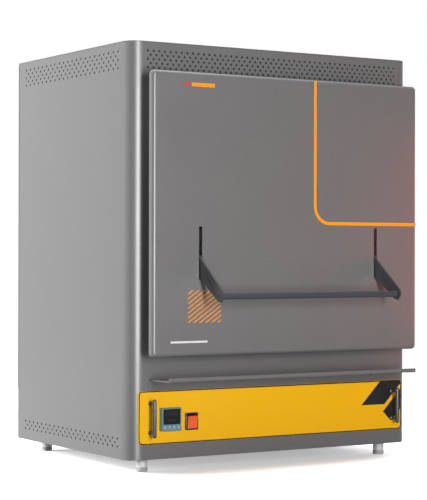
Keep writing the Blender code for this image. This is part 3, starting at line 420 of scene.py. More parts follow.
def galvanised_sheet():
    """Hot-dip galvanised steel: zinc crystals a few millimetres wide, each with its own shade and sheen."""
    material, tree, shader, place = surface("galvanised_sheet", "#b4b8ba", 0.38, 1.0)
    cells = add(tree, "TexVoronoi", {"Vector": place, "Scale": 1 / (7 * MM), "Randomness": 1.0})
    tone = add(tree, "SeparateColor", {"Color": cells.outputs["Color"]}).outputs["Red"]
    mix = add(tree, "Mix", {0: tone, 6: linear("#9da2a5"), 7: linear("#c6cacc")}, data_type="RGBA")
    tree.links.new(mix.outputs[2], shader.inputs["Base Color"])
    rough = add(tree, "MapRange", {"Value": tone, "To Min": 0.30, "To Max": 0.48})
    tree.links.new(rough.outputs[0], shader.inputs["Roughness"])
    ripple(tree, shader, place, 3 * MM, 0.01 * MM)
    return material


def brushed_metal(name, dark, light, roughness, stretch=(1, 1, 40), size=12 * MM, depth=0.006 * MM):
    """Drawn or brushed metal: long fine lines that spread the highlight along the piece."""
    material, tree, shader, place = surface(name, light, roughness, 1.0)
    colour, lines = mottle(tree, place, dark, light, size, 4.0, stretch)
    tree.links.new(colour, shader.inputs["Base Color"])
    rough = add(tree, "MapRange", {"Value": lines, "To Min": roughness - 0.06, "To Max": roughness + 0.08})
    tree.links.new(rough.outputs[0], shader.inputs["Roughness"])
    ripple(tree, shader, place, size / 2, depth, stretch)
    return material


def fibre_board(name="fibre_board", dark="#d9d3c4", light="#f2eee2"):
    """Vacuum-formed ceramic fibre board: chalky white, with short felted fibres and small pits."""
    material, tree, shader, place = surface(name, light, 0.93, 0.0, IOR=1.5)
    colour, _ = mottle(tree, place, dark, light, 22 * MM, 6.0)
    tree.links.new(colour, shader.inputs["Base Color"])
    pits = ripple(tree, shader, place, 9 * MM, 0.5 * MM, detail=5.0)
    ripple(tree, shader, place, 1.2 * MM, 0.12 * MM, (1, 6, 1), pits)
    return material


def fired_ceramic(name, dark, light, roughness=0.75):
    """Fired refractory ceramic: matt, a little sandy, with darker iron specks."""
    material, tree, shader, place = surface(name, light, roughness, 0.0, IOR=1.55)
    colour, _ = mottle(tree, place, dark, light, 30 * MM, 4.0)
    specks = add(tree, "TexVoronoi", {"Vector": place, "Scale": 1 / (4 * MM)}).outputs["Distance"]
    share = add(tree, "MapRange", {"Value": specks, "From Min": 0.05, "From Max": 0.12}).outputs[0]
    mix = add(tree, "Mix", {0: share, 6: linear("#8a7a66"), 7: colour}, data_type="RGBA")
    tree.links.new(mix.outputs[2], shader.inputs["Base Color"])
    ripple(tree, shader, place, 1.5 * MM, 0.06 * MM)
    return material


def glazed_element():
    """Molybdenum disilicide rod: dark grey with a thin glassy skin, browner where it has run hot."""
    material, tree, shader, place = surface("glazed_element", "#4a4543", 0.32, 0.2)
    colour, _ = mottle(tree, place, "#34302f", "#6a5c50", 14 * MM, 4.0)
    tree.links.new(colour, shader.inputs["Base Color"])
    ripple(tree, shader, place, 2 * MM, 0.05 * MM)
    return material


def moulded_plastic(name, colour, tint, roughness=0.38, grain=0.6 * MM, depth=0.015 * MM, **sockets):
    """Injection-moulded ABS or nylon: even colour with a fine spark-eroded texture."""
    material, tree, shader, place = surface(name, colour, roughness, 0.0, IOR=1.53, **sockets)
    mixed, _ = mottle(tree, place, colour, tint, 5 * MM, 3.0)
    tree.links.new(mixed, shader.inputs["Base Color"])
    ripple(tree, shader, place, grain, depth)
    return material


def cast_iron():
    """Sand-cast iron under primer: dull grey-black skin with the grain of the sand."""
    material, tree, shader, place = surface("sand_cast_iron", "#3c3e40", 0.62, 0.35)
    colour, _ = mottle(tree, place, "#2e3032", "#4b4d4f", 12 * MM, 5.0)
    tree.links.new(colour, shader.inputs["Base Color"])
    ripple(tree, shader, place, 1.4 * MM, 0.12 * MM, detail=4.0)
    return material


def rubber():
    """Moulded grey nitrile rubber: soft, with a dusty bloom."""
    material, tree, shader, place = surface("nitrile_rubber", "#b4b6b7", 0.82, 0.0, IOR=1.52)
    colour, _ = mottle(tree, place, "#a6a8aa", "#c0c2c3", 6 * MM)
    tree.links.new(colour, shader.inputs["Base Color"])
    ripple(tree, shader, place, 0.8 * MM, 0.03 * MM)
    return material


def braided_rope():
    """Braided ceramic-fibre rope: pale strands that cross in a 3 mm diamond."""
    material, tree, shader, place = surface("braided_fibre_rope", "#ddd8ca", 0.9, 0.0)
    waves = []
    for turn in (0.8, -0.8):
        spot = add(tree, "Mapping", {"Vector": place, "Rotation": (0, turn, 0)}).outputs[0]
        waves.append(add(tree, "TexWave", {"Vector": spot, "Scale": 1 / (20 * MM), "Distortion": 0.6},
                         bands_direction="X").outputs["Fac"])
    weave = add(tree, "Math", {0: waves[0], 1: waves[1]}, operation="MAXIMUM").outputs[0]
    mix = add(tree, "Mix", {0: weave, 6: linear("#b7b09e"), 7: linear("#ece8dc")}, data_type="RGBA")
    tree.links.new(mix.outputs[2], shader.inputs["Base Color"])
    bump = add(tree, "Bump", {"Height": weave, "Distance": 0.5 * MM, "Strength": 1.0})
    tree.links.new(bump.outputs[0], shader.inputs["Normal"])
    return material


def chrome_plate():
    """Chromium plate on steel: bright, with faint wipe marks."""
    material, tree, shader, place = surface("chrome_plate", "#d8d9da", 0.14, 1.0)
    smear = add(tree, "TexNoise", {"Vector": place, "Scale": 60.0, "Detail": 4.0})
    rough = add(tree, "MapRange", {"Value": smear.outputs["Fac"], "To Min": 0.08, "To Max": 0.24})
    tree.links.new(rough.outputs[0], shader.inputs["Roughness"])
    return material


def display_glass():
    """Smoked acrylic window: nearly black, with a sharp reflection."""
    material, tree, shader, place = surface("smoked_acrylic", "#050608", 0.06, 0.0, IOR=1.49)
    smear = add(tree, "TexNoise", {"Vector": place, "Scale": 140.0, "Detail": 3.0})
    rough = add(tree, "MapRange", {"Value": smear.outputs["Fac"], "To Min": 0.04, "To Max": 0.12})
    tree.links.new(rough.outputs[0], shader.inputs["Roughness"])
    return material


BODY = powder_coat("grey_powder_coat", "#686767", "#727171", 0.40)
SLATE = powder_coat("slate_powder_coat", "#383a40", "#43454c", 0.38)
AMBER = powder_coat("amber_powder_coat", "#ffbc00", "#ffc200", 0.38, Specular_IOR_Level=0.25)
ORANGE_INK = powder_coat("orange_screen_ink", "#f69600", "#ffa000", 0.5, 0.8 * MM, 0.004 * MM,
                         Specular_IOR_Level=0.2)
RED_INK = powder_coat("red_screen_ink", "#cf2418", "#dd2c1e", 0.45, 0.8 * MM, 0.004 * MM)
WHITE_INK = powder_coat("white_screen_ink", "#dcdcda", "#ececea", 0.45, 0.8 * MM, 0.004 * MM)
BLACK_INK = powder_coat("black_screen_ink", "#141416", "#1d1d20", 0.35, 0.8 * MM, 0.004 * MM)
ZINC = galvanised_sheet()
STEEL = brushed_metal("turned_steel", "#a4a6a8", "#c9cbcc", 0.28)
PALE = powder_coat("pale_grey_lacquer", "#d6d7d8", "#e4e5e5", 0.50)
ALUMINIUM = brushed_metal("extruded_aluminium", "#b3b6b9", "#d2d4d6", 0.36)
COPPER = brushed_metal("enamelled_copper_wire", "#7c3f1c", "#a8602c", 0.34, (1, 40, 1), 6 * MM)
CHROME = chrome_plate()
FIBRE = fibre_board()
CERAMIC = fired_ceramic("mullite", "#cdbfa4", "#e2d8c2")
ELEMENT = glazed_element()
IRON = cast_iron()
RUBBER = rubber()
ROPE = braided_rope()
# painted shade: near-black colour for the sheets behind the vents, which darken the holes
MESH = moulded_plastic("painted_vent_shade", "#060606", "#0a0a0a", 0.8)
BLACK = moulded_plastic("black_abs", "#111214", "#1a1b1e")
BEZEL = moulded_plastic("blue_grey_abs", "#5f8a98", "#6f9aa8", 0.34)
KEYS = moulded_plastic("pale_key_rubber", "#b2b8ba", "#c2c8ca", 0.5)
ORANGE = moulded_plastic("orange_polycarbonate", "#ff5c22", "#ff6a30", 0.26, 1.0 * MM, 0.006 * MM)
GLASS = display_glass()


# ---- casing -----------------------------------------------------------------------------------
FRONT = low("front_panel").y
CORNER = half("front_panel").y * 2
SHEET = half("top_cover").z * 2
SIDE = half("front_panel").x
BASE = low("front_panel").z
TOP = high("top_cover").z


def wrap(u, v, depth):
    """The front sheet's own length along u, bent round the two front corners; depth goes inwards."""
    run = SIDE - CORNER
    if abs(u) <= run:
        return Vector((u, FRONT + depth, v))
    turn = min((abs(u) - run) / CORNER, pi / 2)
    out = run + (CORNER - depth) * sin(turn)
    return Vector((out if u > 0 else -out, FRONT + CORNER - (CORNER - depth) * cos(turn), v))


def vent_rows(start, end, pitch, levels, odd_first=False):
    """Staggered rows of round vent holes between two places."""
    holes = []
    count = round((end - start) / pitch)
    step = (end - start) / count
    for row, level in enumerate(levels):
        shifted = (row % 2 == 1) != odd_first
        for i in range(count if shifted else count + 1):
            holes.append(circle((start + (i + 0.5 * shifted) * step, level), HOLE, 14))
    return holes


def top_levels():
    first = TOP - TOP_ROW
    return [first - i * ROW_PITCH for i in range(5)]


def low_levels():
    return [BASE + LOW_ROW + i * ROW_PITCH * 0.965 for i in range(3)]


def casing_front():
    """One sheet round both corners, with vents, chamber mouth, drawer bay and lever slots."""
    run = SIDE - CORNER
    end = run + CORNER * pi / 2
    ceiling = high("front_panel").z
    plug_low, plug_high = low("door_plug"), high("door_plug")
    mouth = grown((plug_low.x, plug_low.z), (plug_high.x, plug_high.z), 5 * MM)
    panel_low, panel_high = low("drawer_front"), high("drawer_front")
    bay = ((panel_low.x + BAY_INSET[0], panel_low.z + BAY_INSET[1]),
           (panel_high.x - BAY_INSET[0], panel_high.z - BAY_INSET[1]))
    holes = [rounded(*mouth, 2 * MM), rounded(*bay, 3 * MM)]
    lever = middle("lever_right").x
    at_slot = [co for co in (v.co for v in frame["nodes"]["front_panel"].data.vertices)
               if abs(co.x - lever) < 9 * MM
               and co.y < FRONT + 2 * SHEET and BASE + 1 * MM < co.z < ceiling - 1 * MM]
    slot_low, slot_high = min(c.z for c in at_slot), max(c.z for c in at_slot)
    for side in (-1, 1):
        x = side * lever
        holes.append(rounded((x - 8 * MM, slot_low), (x + 8 * MM, slot_high), 3 * MM))
    holes += vent_rows(-SIDE + 43 * MM, SIDE - 43 * MM, FRONT_PITCH, top_levels())
    folds = []
    for side in (-1, 1):
        steps = [run - 3 * MM] + [run + CORNER * pi / 2 * i / 12 for i in range(12)]
        folds += [((side * u, BASE), (side * u, ceiling)) for u in steps]
    outline = [(-end, BASE), (end, BASE), (end, ceiling), (-end, ceiling)]
    piece("casing_front", plate(outline, holes, wrap, SHEET, folds), BODY, "cabinet", "front_panel",
          "body_paint", angle=25)


def casing_sides():
    start, end = low("side_panel_right").y, high("side_panel_right").y
    ceiling = high("side_panel_right").z
    first, last = FRONT + 48.5 * MM, end - 38.5 * MM
    holes = vent_rows(first, last, SIDE_PITCH, top_levels())
    holes += vent_rows(first, last, SIDE_PITCH, low_levels())
    flange = half("side_panel_right").x * 2
    bend = 2.5 * MM
    straight = end - bend

    def fold(u, v, depth):
        """Flat along the side, then bent inwards round the rear edge."""
        if u <= straight:
            return Vector((SIDE - depth, u, v))
        turn = (u - straight) / bend
        if turn <= pi / 2:
            return Vector((SIDE - bend + (bend - depth) * cos(turn), straight + (bend - depth) * sin(turn),
                           v))
        return Vector((SIDE - bend - (u - straight - bend * pi / 2), end - depth, v))

    tip = straight + bend * pi / 2 + flange - bend
    marks = ([straight - 3 * MM] + [straight + bend * pi / 2 * i / 5 for i in range(6)]
             + [straight + bend * pi / 2 + 2 * MM])
    folds = [((u, BASE), (u, ceiling)) for u in marks]
    side = plate([(start, BASE), (tip, BASE), (tip, ceiling), (start, ceiling)], holes, fold, SHEET, folds)
    both_sides("casing_side", side, BODY, "cabinet", "side_panel", "body_paint", angle=25)


def vent_shade_sheets():
    """Near-black strips behind every row of vents: painted shade that darkens the vent holes."""
    above = (top_levels()[-1] - 6 * MM, top_levels()[0] + 6 * MM)
    below = (low_levels()[0] - 6 * MM, low_levels()[-1] + 6 * MM)
    run = SIDE - CORNER
    outline = [(-run, above[0]), (run, above[0]), (run, above[1]), (-run, above[1])]
    front = slab("XZ", outline, FRONT + 4 * MM, FRONT + 4.5 * MM)
    piece("vent_shade_sheet_front", front, MESH, "cabinet")
    start, end = FRONT + CORNER, high("side_panel_right").y - 4 * MM
    strips = []
    for foot, head in (above, below):
        outline = [(start, foot), (end, foot), (end, head), (start, head)]
        strips.append(slab("YZ", outline, SIDE - 4.5 * MM, SIDE - 4 * MM))
    both_sides("vent_shade_sheet", joined(strips), MESH, "cabinet", None)


def screw_head(axis, centre, level, out, radius=SCREW):
    """A pan head with a hexagon socket, standing out of a face at the level given."""
    rise = radius * 0.62 * out
    socket = radius * 0.48
    profile = [(radius, level), (radius * 0.96, level + rise * 0.35), (radius * 0.80, level + rise * 0.75),
               (radius * 0.58, level + rise), (socket, level + rise), (socket * 0.95, level + rise * 0.3),
               (0, level + rise * 0.25)]
    return turned(axis, centre, [(0, level)] + profile, 18)


def casing_top():
    left = arc((-SIDE + CORNER, FRONT + CORNER), CORNER, 180, 270, 12)
    right = arc((SIDE - CORNER, FRONT + CORNER), CORNER, 270, 360, 12)
    rear = high("top_cover").y
    outline = left + right + [(SIDE, rear), (-SIDE, rear)]
    lid = slab("XY", outline, TOP - SHEET, TOP)
    piece("casing_top", lid, BODY, "cabinet", "top_cover", "body_paint", edge=0.6 * MM, rounds=3, angle=40)


def casing_rear():
    bottom, ceiling = low("rear_panel"), high("rear_panel")
    fan, port, inlet = middle("fan_guard"), middle("exhaust_tube"), middle("mains_inlet")
    holes = [circle((fan.x, fan.z), 56 * MM, 48), circle((port.x, port.z),
                                                         half("exhaust_tube").x + 0.5 * MM, 28)]
    holes.append(circle((inlet.x, inlet.z), 22 * MM, 36))
    for side in (-1, 1):
        for i in range(7):
            z = ceiling.z - 148.5 * MM + i * 14 * MM
            x = side * 235 * MM
            holes.append(rounded((x - 35 * MM, z - 2.5 * MM), (x + 35 * MM, z + 2.5 * MM), 2.4 * MM, 5))
    outline = rounded((bottom.x, bottom.z), (ceiling.x, ceiling.z), 3 * MM, 4)
    back = slab("XZ", outline, ceiling.y - SHEET, ceiling.y, holes)
    piece("casing_rear", back, BODY, "cabinet", "rear_panel", "body_paint", edge=0.4 * MM)
    heads = []
    for x in (bottom.x + 9 * MM, ceiling.x - 9 * MM):
        for i in range(5):
            z = bottom.z + 30 * MM + i * (ceiling.z - bottom.z - 60 * MM) / 4
            heads.append(screw_head("Y", (x, 0, z), ceiling.y, 1))
    for i in range(3):
        x = (i - 1) * 170 * MM
        heads += [screw_head("Y", (x, 0, bottom.z + 12 * MM), ceiling.y, 1)]
    piece("casing_rear_screws", joined(heads), STEEL, "cabinet")


def feet():
    for name in ("foot_front_left", "foot_front_right", "foot_rear_left", "foot_rear_right"):
        spot, radius = middle(name), half(name).x
        pad = 8.5 * MM
        rest = BASE - 0.3 * MM
        centre = (spot.x, spot.y, 0)
        shank = [(0, pad), (radius * 0.93, pad), (radius * 0.97, pad + 0.6 * MM),
                 (radius * 0.97, rest - 0.8 * MM),
                 (radius * 0.93, rest), (4 * MM, rest), (4 * MM, BASE + 12 * MM), (0, BASE + 12 * MM)]
        sole = [(0, 0), (radius - 1.5 * MM, 0), (radius - 0.4 * MM, 0.5 * MM), (radius, 1.6 * MM),
                (radius, pad - 1.2 * MM), (radius - 0.8 * MM, pad - 0.3 * MM), (0, pad - 0.3 * MM)]
        piece(f"{name}_shank", turned("Z", centre, shank), PALE, "cabinet", name, "bare_steel", angle=35)
        piece(f"{name}_pad", turned("Z", centre, sole), RUBBER, "cabinet")


def thick_line(points, thick):
    """Outline of sheet metal bent along a line of points."""
    return [tuple(p) for p in ribbon(points, thick / 2)]


def shelf():
    """Folded sheet: a flange screwed to the casing, the shelf, and a small upstand along its front edge."""
    a, b = low("shelf"), high("shelf")
    inner = SHEET / 2
    level = b.z - 7 * MM - inner
    line = [(b.y - inner, a.z), (b.y - inner, level), (a.y + inner, level), (a.y + inner, b.z)]
    line = bent(line, 2.2 * MM, 5)
    outline = thick_line(line, SHEET)
    piece("folded_shelf", slab("YZ", outline, a.x, b.x), BODY, "cabinet", "shelf", "body_paint",
          edge=0.35 * MM, angle=50)
    heads = []
    for i in range(4):
        x = a.x + 60 * MM + i * (b.x - a.x - 120 * MM) / 3
        heads.append(screw_head("Y", (x, 0, a.z + 7.5 * MM), b.y - SHEET, -1, 2.8 * MM))
    piece("shelf_screws", joined(heads), BODY, "cabinet")


# ---- chamber and rear fittings ----------------------------------------------------------------
def keep(finish, *nodes, edge=0.0):
    """Gives frame nodes their real finish, and breaks their edges."""
    for name in nodes:
        node = frame["nodes"][name]
        node.data.materials.clear()
        node.data.materials.append(finish)
        if edge:
            weld = node.modifiers.new("one_skin", "WELD")
            weld.merge_threshold = 0.01 * MM
            bevel = node.modifiers.new("broken_edges", "BEVEL")
            bevel.width = edge
            bevel.segments = 2
            bevel.limit_method = "ANGLE"
            bevel.angle_limit = radians(40)


def inner_parts():
    keep(FIBRE, "insulation_floor", "insulation_left", "insulation_right", "insulation_roof",
         "insulation_rear", "throat_frame", "door_insulation", edge=1.0 * MM)
    keep(ZINC, "base_plate", "partition_plate", "chamber_casing", "pivot_bracket_left", "pivot_bracket_right",
         "slide_channel_left", "slide_channel_right", "slide_bar_left", "slide_bar_right", "drawer_chassis",
         "door_box")
    keep(CERAMIC, "hearth_plate", edge=1.2 * MM)


def heating_elements():
    """U-bent rods: thick terminals in the roof, and a thin bar that dips twice along the chamber."""
    a, b = low("heating_element_right"), high("heating_element_right")
    x = (a.x + b.x) / 2
    cold = (b.x - a.x) / 2
    hot, loop = cold / 2, 30 * MM
    front, rear = a.y + cold + loop, b.y - cold - loop
    neck = high("insulation_roof").z - 108 * MM
    path = [(front - loop, b.z), (front - loop, neck), (front - loop, neck - 7 * MM)]
    path += arc((front, a.z + hot + loop), loop, 180, 360, 14)
    crown = neck - 7 * MM - (rear - front - 2 * loop) / 2
    path += arc(((front + rear) / 2, crown), (rear - front) / 2 - loop, 180, 0, 14)
    path += arc((rear, a.z + hot + loop), loop, 180, 360, 14)
    path += [(rear + loop, neck - 7 * MM), (rear + loop, neck), (rear + loop, b.z)]
    thick = [cold, cold] + [hot] * (len(path) - 4) + [cold, cold]
    rods = swept([(x, y, z) for y, z in path], lambda i: circle((0, 0), thick[i], 20))
    both_sides("heating_rod", rods, ELEMENT, "cabinet", "heating_element", "element", angle=50)
    collars = []
    for y in (front - loop, rear + loop):
        seat = high("insulation_roof").z + 1 * MM
        collars.append(turned("Z", (x, y, 0), [(cold + 0.3 * MM, seat), (13 * MM, seat),
                                               (13 * MM, seat + 9 * MM), (11 * MM, seat + 11 * MM),
                                               (cold + 0.3 * MM, seat + 11 * MM)], 24, True))
    both_sides("element_collars", joined(collars), CERAMIC, "cabinet", None)
    clamps = []
    for y in (front - loop, rear + loop):
        for z in (b.z - 26 * MM, b.z - 12 * MM):
            clamps.append(turned("Z", (x, y, 0), [(cold + 0.2 * MM, z), (cold + 2 * MM, z),
                                                  (cold + 2 * MM, z + 9 * MM),
                                                  (cold + 0.2 * MM, z + 9 * MM)], 24, True))
    both_sides("element_clamps", joined(clamps), ALUMINIUM, "cabinet", None, edge=0.4 * MM)


def rear_fittings():
    a, b = low("thermocouple"), high("thermocouple")
    spot = middle("thermocouple")
    head, sheath = half("thermocouple").x, 4 * MM
    seat = b.y - 30 * MM
    tip = [(0, a.y), (sheath * 0.6, a.y + 0.6 * MM), (sheath, a.y + 2.5 * MM), (sheath, seat),
           (16 * MM, seat), (16 * MM, seat + 6 * MM), (head - 1 * MM, seat + 6 * MM), (head, seat + 7 * MM),
           (head, b.y - 4 * MM), (head - 2 * MM, b.y - 1 * MM), (head - 5 * MM, b.y), (0, b.y)]
    piece("probe", turned("Y", (spot.x, 0, spot.z), tip), STEEL, "cabinet", "thermocouple", "bare_steel")
    a, b = low("exhaust_tube"), high("exhaust_tube")
    spot, outer = middle("exhaust_tube"), half("exhaust_tube").x
    bore = outer - 4 * MM
    pipe = [(bore, a.y), (outer, a.y), (outer, b.y - 1.2 * MM), (outer - 1.2 * MM, b.y),
            (bore + 1 * MM, b.y), (bore, b.y - 1 * MM)]
    piece("flue_tube", turned("Y", (spot.x, 0, spot.z), pipe, closed=True), CERAMIC, "cabinet",
          "exhaust_tube", "ceramic")
    plane = high("rear_panel").y
    collar = [(outer + 0.6 * MM, plane), (outer + 13 * MM, plane), (outer + 13 * MM, plane + 1.5 * MM),
              (outer + 3 * MM, plane + 1.5 * MM), (outer + 2 * MM, plane + 6 * MM),
              (outer + 0.6 * MM, plane + 6 * MM)]
    piece("flue_collar", turned("Y", (spot.x, 0, spot.z), collar, closed=True), STEEL, "cabinet")


def fan():
    guard, spot = half("fan_guard").x, middle("fan_guard")
    centre = (spot.x, spot.z)
    a, b = low("fan_guard").y, high("fan_guard").y
    wire = 1.1 * MM
    level = b - wire
    parts = []
    for i in range(6):
        radius = 12 * MM + (guard - wire - 12 * MM) * i / 5
        ring = [(x, level, z) for x, z in circle(centre, radius, 56)]
        parts.append(swept(ring, circle((0, 0), wire, 10), closed=True))
    for k in range(4):
        turn = pi / 4 + k * pi / 2
        ends = [(spot.x + r * cos(turn), level - wire * 0.9,
                 spot.z + r * sin(turn)) for r in (11 * MM, guard + 12 * MM)]
        parts.append(swept(ends, circle((0, 0), wire, 10)))
        foot = (spot.x + (guard + 13 * MM) * cos(turn), spot.z + (guard + 13 * MM) * sin(turn))
        parts.append(turned("Y", (foot[0], 0, foot[1]), [(0, a), (4.5 * MM, a), (4.5 * MM, a + 1.2 * MM),
                                                         (2.6 * MM, b), (0, b)], 18))
    piece("wire_guard", joined(parts), CHROME, "cabinet", "fan_guard", "bare_steel")
    a, b = low("fan_frame"), high("fan_frame")
    body = slab("XZ", rounded((a.x, a.z), (b.x, b.z), 8 * MM), a.y, b.y, [circle(centre, 56 * MM, 56)])
    arms = [slab("XZ", circle(centre, 18 * MM, 32), a.y + 0.5 * MM, a.y + 4 * MM)]
    for k in range(4):
        turn = pi / 4 + k * pi / 2
        line = [(spot.x + r * cos(turn), spot.z + r * sin(turn)) for r in (17 * MM, 58 * MM)]
        arms.append(slab("XZ", ribbon(line, 2.8 * MM), a.y + 0.8 * MM, a.y + 3.8 * MM))
    piece("fan_housing", joined([body] + arms), BLACK, "cabinet", "fan_frame", "black_plastic", edge=0.5 * MM)
    fan_wheel(spot)


def fan_wheel(spot):
    a, b = low("fan_impeller"), high("fan_impeller")
    tip = half("fan_impeller").z
    hub = [(0, a.y), (19 * MM, a.y), (20 * MM, a.y + 1 * MM), (20 * MM, b.y - 1.5 * MM), (18.5 * MM, b.y),
           (0, b.y)]
    parts = [turned("Y", (spot.x, 0, spot.z), hub)]
    level, depth = (a.y + b.y) / 2, (b.y - a.y)
    for i in range(BLADES):
        rings = []
        for share in (0.0, 0.25, 0.5, 0.75, 1.0):
            radius = 18 * MM + (tip - 20 * MM) * share
            turn = 2 * pi * i / BLADES + 0.35 * share
            out = Vector((cos(turn), 0, sin(turn)))
            across = Vector((-sin(turn), 0, cos(turn)))
            chord, twist = (13 + 7 * share) * MM, radians(50 - 18 * share)
            lean = (Vector((0, sin(twist), 0)) + across * cos(twist)).normalized()
            face = lean.cross(out).normalized()
            middle_point = Vector((spot.x, level, spot.z)) + out * radius
            ring = []
            for u, w in BLADE:
                point = middle_point + lean * chord * u + face * chord * w
                point.y = level + max(-depth * 0.47, min(depth * 0.47, point.y - level))
                ring.append(point)
            rings.append(ring)
        parts.append(lofted(rings))
    piece("fan_wheel", joined(parts), BLACK, "fan", "fan_impeller", "black_plastic", angle=40)


def mains_inlet():
    """Round five-pin inlet: a square flange with four screws, a shroud, and pins inside it."""
    a, b = low("mains_inlet"), high("mains_inlet")
    spot, plane = middle("mains_inlet"), high("rear_panel").y + 0.3 * MM
    radius = 21.7 * MM
    centre = (spot.x, 0, spot.z)
    flange = slab("XZ", rounded((a.x, a.z), (b.x, b.z), 6 * MM), plane, plane + 3 * MM,
                  [circle((spot.x, spot.z), radius - 1 * MM, 40)])
    shroud = [(radius - 2 * MM, plane - 12 * MM), (radius, plane - 12 * MM), (radius, b.y - 1 * MM),
              (radius - 1 * MM, b.y), (radius - 3 * MM, b.y), (radius - 4 * MM, b.y - 1 * MM),
              (radius - 4 * MM, plane + 0.5 * MM), (radius - 4 * MM, plane - 12 * MM)]
    floor = rod("Y", centre, radius - 3.8 * MM, plane - 3 * MM, plane)
    piece("inlet_shell", joined([flange, turned("Y", centre, shroud, closed=True), floor]), BLACK,
          "cabinet", "mains_inlet", "black_plastic", edge=0.3 * MM)
    pins = []
    for i in range(5):
        turn = radians(90 + 72 * i)
        where = (spot.x + 10 * MM * cos(turn), 0, spot.z + 10 * MM * sin(turn))
        pins.append(rod("Y", where, (3.0 if i == 0 else 2.4) * MM, plane - 2 * MM, b.y - 6 * MM, 0.8 * MM,
                        20))
    heads = [screw_head("Y", (spot.x + i * 22 * MM, 0, spot.z + j * 22 * MM), plane + 3 * MM, 1, 2.6 * MM)
             for i in (-1, 1) for j in (-1, 1)]
    piece("inlet_pins_and_screws", joined(pins + heads), STEEL, "cabinet")


# ---- lifting linkage --------------------------------------------------------------------------
def levers():
    main, door_pin = joint_at("door_lift"), joint_at("door_level")
    bar, weight = middle("handle_bar"), middle("counterweight_right")
    x0, x1 = low("lever_right").x, high("lever_right").x
    route = [(weight.y, weight.z), (main.y, main.z), (door_pin.y, door_pin.z), (bar.y, bar.z)]
    line = [Vector(p) for p in route]
    runs = [(b - a).normalized() for a, b in zip(line, line[1:])]
    back_turn = atan2(-runs[0].y, -runs[0].x) * 180 / pi
    front_turn = atan2(runs[2].y, runs[2].x) * 180 / pi
    mitre = (runs[1] + runs[2]).normalized()
    side = Vector((-mitre.y, mitre.x)) * LEVER_HALF
    tail = arc(line[0], LEVER_HALF, back_turn - 90, back_turn + 90, 16)
    turns = [radians(front_turn + step) for step in (-90, -36, 36, 90)]
    nose = [(line[3].x + LEVER_TIP * cos(t), line[3].y + LEVER_TIP * sin(t)) for t in turns]
    outline = tail + [tuple(line[2] - side)] + nose + [tuple(line[2] + side)]
    pin = 8.6 * MM
    bores = [circle(route[0], 8.3 * MM, 28), circle(route[1], pin, 28), circle(route[2], pin - 2 * MM, 28),
             circle(route[3], 3 * MM, 20)]
    arm = slab("YZ", outline, x0, x1, bores)
    both_sides("lever_arm", arm, SLATE, "levers", "lever", "handle_paint", edge=0.7 * MM, rounds=3)
    pull_bar(bar)
    counterweights(Vector(route[0]), runs[0])
    retaining_clips([(route[1], 8.0 * MM, "cabinet"), (route[2], 6.0 * MM, "door")], x1)


def pull_bar(spot):
    radius = half("handle_bar").z
    end = low("lever_right").x - 0.3 * MM
    head = high("handle_bar").x
    edge = 0.8 * MM
    profile = [(0, -end), (radius - edge, -end), (radius, -end + edge), (radius, end - edge),
               (radius - edge, end), (0, end)]
    piece("pull_bar", turned("X", (0, spot.y, spot.z), profile), SLATE, "levers", "handle_bar",
          "handle_paint")
    face = high("lever_right").x
    heads = [turned("X", (0, spot.y, spot.z), [(0, side * face), (5 * MM, side * face),
                                               (5 * MM, side * (face + 1.6 * MM)),
                                               (3.4 * MM, side * head), (2.2 * MM, side * head),
                                               (2.0 * MM, side * (face + 1.2 * MM)),
                                               (0, side * (face + 1.1 * MM))], 20)
             for side in (-1, 1)]
    piece("pull_bar_screws", joined(heads), SLATE, "levers")


def counterweights(spot, run):
    """Cast blocks on the levers' tails, each on a stud with a nut."""
    a, b = low("counterweight_right").x, high("counterweight_right").x
    start = high("lever_right").x + 0.6 * MM
    along, across = run * 50 * MM, Vector((-run.y, run.x)) * 50 * MM
    corners = [(-1, -1), (1, -1), (1, 1), (-1, 1)]
    outline = [tuple(spot + i * along + j * across) for i, j in corners]
    block = slab("YZ", outline, start, b)
    both_sides("cast_weight", block, IRON, "levers", "counterweight", "cast_iron", edge=4 * MM, rounds=3)
    stud = rod("X", (0, spot.x, spot.y), 8 * MM, a, start + 2 * MM, 1 * MM, 28)
    nut = slab("YZ", circle(tuple(spot), 13 * MM, 6), a + 0.2 * MM, low("lever_right").x - 0.2 * MM)
    both_sides("weight_stud", joined([stud, nut]), STEEL, "levers", None, edge=0.4 * MM)


def retaining_clips(pins, face):
    """A split ring on each pin, outside the lever."""
    for (y, z), radius, body in pins:
        ring = [(radius - 1 * MM, face + 0.8 * MM), (radius + 3 * MM, face + 0.8 * MM),
                (radius + 3 * MM, face + 2 * MM), (radius - 1 * MM, face + 2 * MM)]
        clip = turned("X", (0, y, z), ring, 32, True)
        both_sides(f"{body}_pin_clip", clip, STEEL, body, None)


def links():
    top, low_pin = joint_at("link_swing"), joint_at("door_level")
    drop = joint_at("door_lift").z - top.z
    a = Vector((top.y, top.z))
    b = Vector((low_pin.y, low_pin.z - drop))
    x0, x1 = low("link_right").x, high("link_right").x
    turn = atan2(b.y - a.y, b.x - a.x) * 180 / pi
    outline = arc(a, 13 * MM, turn + 90, turn + 270, 16) + arc(b, 11 * MM, turn - 90, turn + 90, 16)
    bores = [circle(tuple(a), 8.6 * MM, 28), circle(tuple(b), 7.2 * MM, 28)]
    bar = slab("YZ", outline, x0, x1, bores)
    both_sides("follower_link", bar, ZINC, "links", "link", "galvanised", edge=0.5 * MM)


# ---- door -------------------------------------------------------------------------------------
def ring_at(a, b, inset, y, radius, steps=8):
    return [(x, y, z) for x, z in rounded((a.x + inset, a.z + inset), (b.x - inset, b.z - inset), radius,
                                          steps)]


